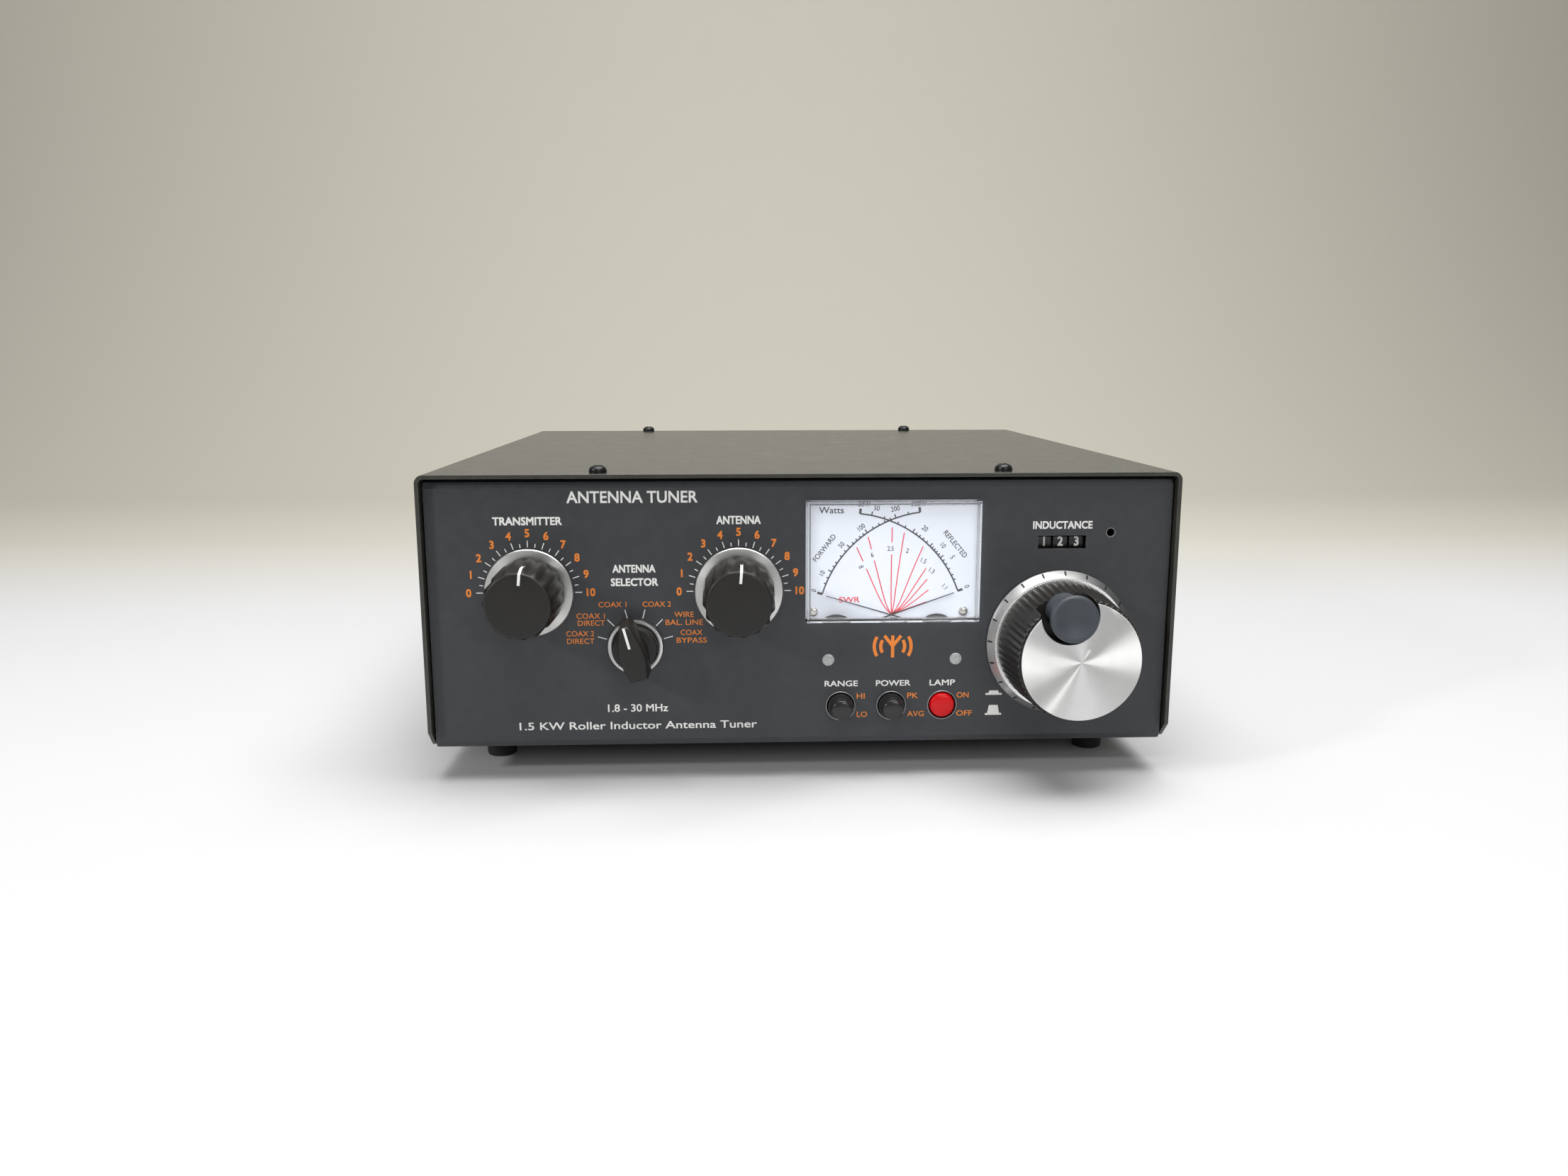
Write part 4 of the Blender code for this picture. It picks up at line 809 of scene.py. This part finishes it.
# ---------------------------------------------------------------------------
# Turns counter
# Three moulded black wheels with white digits on one axle, in a black case
# behind the slot. The small lamp hole beside it has a bare metal edge.
wheel_plastic = finish("wheel_plastic", (0.012, 0.012, 0.012), 0.35, size=0.3, mottling=0.1, relief=0.004)
inner_plastic = finish("inner_plastic", (0.014, 0.014, 0.015), 0.45, size=0.6, mottling=0.15, relief=0.01)
keep(inner_plastic, "counter_case")
for name, shown in (("hundreds", 1), ("tens", 2), ("units", 3)):
    low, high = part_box(f"{name}_wheel")
    axle = (low + high) / 2
    half, radius, hub = (high.x - low.x) / 2 / MM, (high.y - low.y) / 2 / MM, 1.9
    rim = [(hub, -half), (radius - 0.3, -half), (radius, 0.25 - half), (radius, half - 0.25),
           (radius - 0.3, half), (hub, half), (hub, -half)]
    wheel = tilted(turned(rim, 80, "Z"), 90.0, "Y")
    fitted(f"{name}_number_wheel", wheel, wheel_plastic, axle, name, "wheel_plastic", f"{name}_wheel")
    digits = []
    for digit in range(10):
        mark = moved(label(str(digit), 0.0, 0.0, 3.3, 0.9, CAPTION), z=radius + 0.04)
        digits.append(tilted(mark, 90.0 - 36.0 * (digit - shown)))
    fitted(f"{name}_digits", merged(*digits), white_ink, axle, name, "wheel_plastic", smooth=0.0)

bare_edge = finish("bare_edge", (0.35, 0.35, 0.34), 0.4, size=0.6, mottling=0.4, relief=0.01, Metallic=0.8)
hole_edge = turned([(1.52, 0.02), (1.72, 0.02), (1.7, 0.06), (1.55, 0.06), (1.52, 0.02)], 40)
fitted("lamp_hole_edge", hole_edge, bare_edge, on_panel(112.3, 77.6), "case", "satin_aluminium")


# ---------------------------------------------------------------------------
# Meter
# A clear moulded cover over a printed card, two thin black needles that cross,
# black plates over their pivots, and two small screws that hold the card.
window_low, window_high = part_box("meter_window")
card_low, card_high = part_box("meter_dial")
keep(inner_plastic, "meter_case")


def clear_plastic():
    """Clear acrylic: a refracting gloss that lets lamps through, with faint scuffs."""
    sockets = {"Transmission_Weight": 1.0, "IOR": 1.49}
    made, shader, grain = grained("clear_acrylic", (0.97, 0.98, 1.0), sockets,
                                  Roughness=0.03, Size=1.5, Mottling=0.01)
    tree = made.node_tree
    tree.links.new(grain["Colour"], shader.inputs["Base Color"])
    tree.links.new(grain["Roughness"], shader.inputs["Roughness"])
    through = add_node(tree, "BsdfTransparent")
    lamp = add_node(tree, "LightPath").outputs["Is Shadow Ray"]
    mix = add_node(tree, "MixShader", {0: lamp, 1: shader.outputs[0], 2: through.outputs[0]})
    tree.links.new(mix.outputs[0], tree.nodes["Material Output"].inputs["Surface"])
    return made


def window_shell():
    """A shallow open-backed box: side walls all round, and a front."""
    wall = 1.2
    left, right = window_low.x / MM, window_high.x / MM
    base, top = window_low.z / MM, window_high.z / MM
    front, back = window_low.y / MM, window_high.y / MM

    def loop(inset, y):
        return [(x, y, z) for x, z in ((left + inset, base + inset), (right - inset, base + inset),
                                       (right - inset, top - inset), (left + inset, top - inset))]

    return lofted([loop(wall, front + wall), loop(wall, back), loop(0.0, back), loop(0.0, front)])


fitted("meter_cover", window_shell(), clear_plastic(), (0.0, 0.0, 0.0), "case", "clear_plastic",
       "meter_window", bevel=0.3, smooth=30.0)

FORWARD_PIVOT = Vector((48.3, 42.7))
REFLECTED_PIVOT = Vector((16.5, 41.4))
FORWARD_FULL = 300.0
# Each needle's pivot, angle at zero, swing to full scale, power there, and its scale's radius.
NEEDLES = {"forward": (FORWARD_PIVOT, 163.2, -66.0, FORWARD_FULL, 42.6),
           "reflected": (REFLECTED_PIVOT, 19.4, 64.5, 60.0, 43.4)}
CARD_BOLD = 0.012
SWR_LINE_WIDTH = 0.4


def needle_angle(name, watts):
    _, zero, swing, full, _ = NEEDLES[name]
    return zero + swing * math.sqrt(watts / full)


def crossing(watts, returned):
    """Where the needles cross for this forward and reflected power."""
    first = math.radians(needle_angle("forward", watts))
    second = math.radians(needle_angle("reflected", returned))
    step = Vector((math.cos(first), math.sin(first)))
    other = Vector((math.cos(second), math.sin(second)))
    gap = REFLECTED_PIVOT - FORWARD_PIVOT
    return FORWARD_PIVOT + step * (gap.x * other.y - gap.y * other.x) / (step.x * other.y - step.y * other.x)


def standing_wave_line(share, clear_of):
    """The crossings for one share of reflected power, up to the scales and round its label."""
    stretches, points = [], []
    for index in range(1, 201):
        point = crossing(FORWARD_FULL * (index / 200) ** 2, share * FORWARD_FULL * (index / 200) ** 2)
        inside = (point - FORWARD_PIVOT).length < 41.3 and (point - REFLECTED_PIVOT).length < 42.0
        if inside and (point - clear_of).length > 2.0:
            points.append(point)
        elif len(points) > 1:
            stretches.append(ribbon(points, SWR_LINE_WIDTH))
            points = []
        if not inside:
            break
    if len(points) > 1:
        stretches.append(ribbon(points, SWR_LINE_WIDTH))
    return stretches


def power_scale(name, ticks, long_ticks):
    """A scale's arc, its ticks outside the arc, and solid blocks at zero and full scale."""
    pivot, _, _, full, radius = NEEDLES[name]
    marks = [ribbon(arc(*pivot, radius, needle_angle(name, 0), needle_angle(name, full), 60), 0.55)]
    lengths = [(watts, 1.5 if watts in long_ticks else 0.9, 0.45) for watts in ticks]
    for watts, length, width in lengths + [(0, 1.9, 0.9), (full, 1.9, 0.9)]:
        marks.append(ray(*pivot, 90.0 - needle_angle(name, watts), radius, radius + length, width))
    return marks


black = power_scale(
    "forward", (2, 5, 10, 15, 20, 30, 40, 50, 60, 70, 80, 90, 100, 120, 140, 160, 180, 200, 250),
    (10, 50, 100, 200))
black += power_scale(
    "reflected", (0.5, 1, 2, 3, 4, 5, 6, 7, 8, 9, 10, 12, 14, 16, 18, 20, 25, 30, 40, 50), (5, 10, 20, 50))
black.append(words("Watts", 6.2, 15.2, 84.7, 87.1, 0.01))
for text, x, z, turn in (("60W", 22.6, 88.0, 0.0), ("50", 27.2, 86.6, -10.0), ("200", 33.9, 86.3, 12.0),
                         ("300W", 42.4, 88.0, 0.0), ("100", 21.6, 79.6, 38.0), ("50", 14.4, 73.2, 47.0),
                         ("10", 7.4, 62.8, 62.0), ("0", 4.4, 56.4, 72.0), ("20", 44.9, 79.0, -38.0),
                         ("10", 51.7, 72.7, -48.0), ("5", 55.2, 68.4, -55.0), ("0", 60.8, 57.4, -70.0)):
    black.append(label(text, x, z, 1.8, 0.85, CARD_BOLD, turn))
for text, x, z, turn in (("FORWARD", 8.2, 72.1, 52.0), ("REFLECTED", 56.2, 73.2, -50.0)):
    black.append(label(text, x, z, 1.9, 0.9, CARD_BOLD, turn))
red = [words("SWR", 13.7, 21.3, 51.8, 53.9, 0.015)]
for ratio, name, x, z, turn in ((math.inf, "∞", 21.7, 65.0, 22.0), (6.0, "6", 25.7, 69.4, 15.0),
                                (2.5, "2.5", 32.4, 71.7, 0.0), (2.0, "2", 38.6, 70.9, -12.0),
                                (1.5, "1.5", 44.6, 67.1, -25.0), (1.3, "1.3", 47.7, 63.4, -32.0),
                                (1.2, "", 0.0, 0.0, 0.0), (1.1, "1.1", 52.6, 57.4, -45.0)):
    share = 1.0 if ratio == math.inf else ((ratio - 1.0) / (ratio + 1.0)) ** 2
    red += standing_wave_line(share, Vector((x, z)))
    if name:
        black.append(label(name, x, z, 1.7, 0.85, CARD_BOLD, turn))
red.append(ribbon([crossing(3.0, 0.0), crossing(230.0, 0.0)], SWR_LINE_WIDTH))

card = finish("dial_card", (0.68, 0.71, 0.77), 0.5, size=0.8, mottling=0.012, relief=0.004)
keep(card, "meter_dial")
scale_ink = finish("scale_ink", (0.02, 0.02, 0.025), 0.5, size=0.1, mottling=0.1, relief=0.002)
red_ink = finish("red_ink", (0.7, 0.03, 0.05), 0.5, size=0.1, mottling=0.08, relief=0.002)
card_place = Vector((0.0, card_low.y - 0.03 * MM, cover_low.z))
for name, marks, ink in (("meter_scale_black", black, scale_ink), ("meter_scale_red", red, red_ink)):
    fitted(name, printed(marks), ink, card_place, "case", "dial_card", smooth=0.0)


def needle(length, angle):
    """A thin blade from a small hub, tapered to its tip."""
    a = math.radians(angle)
    along, across = Vector((math.cos(a), math.sin(a))), Vector((-math.sin(a), math.cos(a)))
    blade = [along * 1.5 + across * 0.28, along * length + across * 0.14,
             along * length - across * 0.14, along * 1.5 - across * 0.28]
    bar = lofted([[(p.x, y, p.y) for p in blade] for y in (-0.17, 0.17)])
    hub = [(0.0, -0.19), (1.8, -0.19), (1.95, -0.08), (1.95, 0.08), (1.8, 0.19), (0.0, 0.19)]
    return merged(bar, turned(hub, 32))


needle_paint = finish("needle_paint", (0.012, 0.012, 0.013), 0.4, size=0.3, mottling=0.1, relief=0.002)
for name, length in (("forward", 41.3), ("reflected", 41.8)):
    low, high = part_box(f"{name}_needle")
    pivot = joint_at[f"{name}_swing"]
    fitted(f"{name}_blade", needle(length, needle_angle(name, 0)), needle_paint,
           (pivot.x, (low.y + high.y) / 2, pivot.z), f"{name}_pointer", "black_plastic",
           f"{name}_needle")

for name, x in (("left", 12.5), ("right", 49.5)):
    outline = arc(x, 40.0, 7.8, 8.0, 172.0, 32)
    plate = lofted([[(across, y, up) for across, up in outline] for y in (0.0, 0.22)])
    place = Vector((0.0, PANEL + 1.56 * MM, cover_low.z))
    fitted(f"{name}_pivot_plate", plate, inner_plastic, place, "case", "black_plastic")

nickel = finish("nickel_plate", (0.66, 0.64, 0.6), 0.22, size=0.8, mottling=0.08, relief=0.004,
                wear=((0.35, 0.33, 0.3), 0.4, 0.3), Metallic=1.0)
for name, x, z in (("left", 4.2, 48.4), ("right", 59.6, 48.2)):
    head = tilted(cross_screw(1.7, 1.0, 1.0), 90.0)
    place = Vector((x * MM, card_low.y - 0.02 * MM, cover_low.z + z * MM))
    fitted(f"{name}_card_screw", head, nickel, place, "case", "nickel", turn=20.0)


# ---------------------------------------------------------------------------
# Push buttons and studs
# Moulded caps with domed tops on the switch stems, each in a punched hole with
# a scuffed bare edge. Two flush aluminium studs hold the switch bracket.
red_plastic = finish("red_plastic", (0.55, 0.003, 0.005), 0.28, size=0.6, mottling=0.05, relief=0.003,
                     Subsurface_Weight=0.1, Subsurface_Radius=(0.002, 0.0004, 0.0004),
                     Specular_IOR_Level=0.3)
cap_plastic = finish("cap_plastic", (0.014, 0.014, 0.015), 0.25, size=0.4, mottling=0.12, relief=0.004,
                     wear=((0.16, 0.16, 0.16), 0.4, 0.25))
for name, material, slot, narrow, shoulder in (("range", cap_plastic, "black_plastic", 0.79, 3.4),
                                               ("power", cap_plastic, "black_plastic", 0.79, 3.4),
                                               ("lamp", red_plastic, "red_plastic", 0.92, 1.8)):
    low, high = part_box(f"{name}_button")
    middle = (low + high) / 2
    base, long = (high.x - low.x) / 2 / MM, (high.y - low.y) / MM
    tip = narrow * base
    cap = [(0.0, long - 0.02), (1.7, long - 0.02), (1.7, 12.0), (base, 12.0), (base, 5.2)]
    cap.append((min(base - 0.02, tip + 0.45), shoulder))
    cap += [(tip * math.cos(a), 0.9 - 0.8 * math.sin(a))
            for a in (math.pi / 2 * step / 8 for step in range(8))]
    cap = turned([(radius, -along) for radius, along in cap + [(0.0, 0.05)]], 64)
    fitted(f"{name}_cap", cap, material, (middle.x, low.y, middle.z), f"{name}_switch", slot,
           f"{name}_button")
    edge = turned([(5.22, 0.02), (5.5, 0.02), (5.42, 0.1), (5.28, 0.1), (5.22, 0.02)], 64)
    fitted(f"{name}_hole_edge", edge, bare_edge, (middle.x, PANEL, middle.z), "case", "satin_aluminium")

stud_metal = finish("stud_metal", (0.42, 0.43, 0.43), 0.5, size=0.6, mottling=0.35, relief=0.02, Metallic=0.7)
for name, x in (("left", 9.6), ("right", 56.7)):
    dome = turned([(0.0, 0.22), (1.5, 0.2), (2.05, 0.12), (2.2, 0.02), (0.0, 0.02)], 48)
    fitted(f"{name}_stud", dome, stud_metal, on_panel(x, 31.0), "case", "satin_aluminium")
keep(inner_plastic, "switch_bank")


# ---------------------------------------------------------------------------
# Rear panel
# Four nickel-plated coaxial sockets with threaded barrels and pale inserts,
# screwed through their flanges; ribbed ceramic feed-throughs; knurled nuts.
def threaded(radius, start, end, pitch, depth=0.35):
    """The outline of a screw thread between two distances from the panel."""
    turns = round((end - start) / pitch)
    outline = []
    for index in range(turns):
        low = start + (end - start) * index / turns
        outline += [(radius - depth, low), (radius, low + 0.35 * pitch), (radius, low + 0.65 * pitch)]
    return outline + [(radius - depth, end)]


def outward(profile, steps=48):
    """A turned piece on the rear panel, from (radius, distance out from it)."""
    return turned([(radius, -out) for radius, out in profile], steps)


def rounded_square(half, corner):
    outline = []
    for x, z, start in ((1, 1, 0.0), (-1, 1, 90.0), (-1, -1, 180.0), (1, -1, 270.0)):
        outline += arc(x * (half - corner), z * (half - corner), corner, start, start + 90.0, 5)
    return outline


ptfe = finish("pale_insert", (0.75, 0.72, 0.63), 0.4, size=0.5, mottling=0.06, relief=0.004)
for name in ("transmitter", "bypass", "coax_1", "coax_2"):
    low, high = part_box(f"{name}_socket")
    place = Vector(((low.x + high.x) / 2, REAR, (low.z + high.z) / 2))
    reach, half, tail = (high.y - REAR) / MM, (high.x - low.x) / 2 / MM, (REAR - low.y) / MM
    flange = lofted([[(x, y, z) for x, z in rounded_square(half, 1.6)] for y in (0.05, 1.6)])
    barrel = [(0.0, -tail), (6.0, -tail), (6.0, 0.1), (7.4, 0.1), (7.4, 2.4)]
    barrel += threaded(7.9, 2.6, reach - 0.4, 1.06)
    barrel += [(7.2, reach), (5.9, reach), (5.6, reach - 0.4), (5.6, 4.0), (0.0, 4.0)]
    fitted(f"{name}_socket_body", merged(flange, outward(barrel)), nickel, place, "case", "nickel",
           f"{name}_socket", bevel=0.12)
    insert = [(0.0, 4.1), (5.5, 4.1), (5.5, 7.6), (3.2, 7.6), (3.0, 8.4), (2.3, 8.4), (2.3, 5.0), (0.0, 5.0)]
    fitted(f"{name}_socket_insert", outward(insert), ptfe, place, "case", "ceramic")
    contact = [(0.0, 5.1), (2.2, 5.1), (2.2, 8.2), (1.9, 8.4), (1.5, 8.3), (1.5, 6.0), (0.0, 6.0)]
    fitted(f"{name}_socket_contact", outward(contact), nickel, place, "case", "nickel")
    for corner, (x, z) in enumerate(((-9.1, -9.1), (9.1, -9.1), (9.1, 9.1), (-9.1, 9.1)), 1):
        head = tilted(cross_screw(2.6, 1.8, 1.5), -90.0)
        seat = place + Vector((x, 1.62, z)) * MM
        fitted(f"{name}_socket_screw_{corner}", head, nickel, seat, "case", "nickel",
               turn=17.0 * corner)

glaze = finish("glazed_ceramic", (0.78, 0.75, 0.67), 0.16, size=2.0, mottling=0.05, relief=0.004,
               Coat_Weight=0.5)
SHEDS = ((2.7, 0.1), (10.0, 0.1), (10.0, 1.6), (9.4, 2.4), (7.6, 3.4), (7.4, 4.6), (9.1, 5.4), (9.1, 6.4),
         (7.2, 7.6), (7.0, 8.8), (8.2, 9.6), (8.1, 10.6), (6.4, 12.0), (6.0, 15.4), (5.6, 16.0),
         (2.7, 16.0), (2.7, 0.1))
NUT = ((4.6, 0.0, 0.0), (4.9, 0.0, 0.8), (5.5, 0.35, 1.2), (5.5, 0.35, 5.2), (5.1, 0.0, 5.8), (2.6, 0.0, 6.0))
for name in ("wire", "balanced_line_1", "balanced_line_2", "ground"):
    low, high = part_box(f"{name}_post")
    place = Vector(((low.x + high.x) / 2, REAR, (low.z + high.z) / 2))
    out, inside = (high.y - REAR) / MM, (REAR - low.y) / MM
    stud = [(0.0, -inside), (2.4, -inside)] + threaded(2.4, 0.0, out - 0.5, 0.8, 0.22)
    stud += [(1.8, out), (0.0, out)]
    fitted(f"{name}_stud", outward(stud, 32), nickel, place, "case", "nickel", f"{name}_post")
    seat = 0.3 if name == "ground" else 16.2
    nut = lofted([fluted(radius, depth, 28, -(seat + along), 4) for radius, depth, along in NUT])
    fitted(f"{name}_nut", nut, nickel, place, "case", "nickel")
    if name != "ground":
        fitted(f"{name}_sheds", outward(SHEDS), glaze, place, "case", "ceramic", f"{name}_insulator")

jack_at = Vector((0.08, REAR, cover_low.z + 0.022))
sleeve = [(0.0, 0.1), (5.6, 0.1), (5.6, 1.2), (5.2, 1.6), (4.2, 1.6), (4.2, 3.2), (3.9, 3.4), (3.0, 3.4),
          (2.8, 3.2), (2.8, 0.4), (0.0, 0.4)]
fitted("lamp_supply_jack", outward(sleeve), inner_plastic, jack_at, "case", "black_plastic")
pin = outward([(0.0, 0.3), (1.0, 0.3), (1.0, 2.6), (0.7, 2.9), (0.0, 2.9)], 24)
fitted("lamp_supply_pin", pin, nickel, jack_at, "case", "nickel")

REAR_WORDS = (("TRANSMITTER", 98.0, 46.6, 2.6), ("COAX BYPASS", 60.0, 46.6, 2.6), ("COAX 1", 22.0, 46.6, 2.6),
              ("COAX 2", -16.0, 46.6, 2.6), ("WIRE", -52.0, 80.4, 2.6), ("BALANCED LINE", -94.0, 80.4, 2.6),
              ("GROUND", -112.0, 31.6, 2.2), ("12 VDC", -80.0, 31.6, 2.2))
rear_print = tilted(printed([label(*line) for line in REAR_WORDS]), 180.0, "Z")
rear_at = Vector((0.0, REAR + PRINT_THICKNESS * MM, cover_low.z))
fitted("print_rear", rear_print, white_ink, rear_at, "case", "panel_paint", smooth=0.0)


# ---------------------------------------------------------------------------
# Inside the case
# Rolled aluminium plates on ceramic end frames, silvered wire on a ceramic
# drum, nylon gears, a ferrite ring and a glass-epoxy board on pillars.
plate_metal = finish("plate_aluminium", (0.72, 0.72, 0.71), 0.36, size=0.6, mottling=0.08, relief=0.006,
                     Metallic=1.0)
silvered = finish("silvered_wire", (0.8, 0.74, 0.66), 0.25, size=0.8, mottling=0.12, relief=0.004,
                  Metallic=1.0)
nylon = finish("nylon", (0.72, 0.7, 0.62), 0.5, size=0.8, mottling=0.06, relief=0.01)
ferrite = finish("ferrite", (0.06, 0.06, 0.065), 0.6, size=0.35, mottling=0.25, relief=0.03)
board = finish("glass_epoxy", (0.02, 0.13, 0.05), 0.35, size=1.2, mottling=0.2, relief=0.01)
for name in TUNING_NAMES:
    keep(plate_metal, f"{name}_capacitor_rotor", f"{name}_capacitor_stator")
    keep(glaze, f"{name}_capacitor_frame")
for material, *nodes in ((glaze, "coil_drum", "inductor_frame", "selector_wafers"), (ferrite, "balun_core"),
                         (silvered, "coil_winding"), (nickel, "contact_bush", "contact_wheel"),
                         (nylon, "counter_gear", "inductor_gear", "selector_rotor"), (board, "swr_board")):
    keep(material, *nodes)
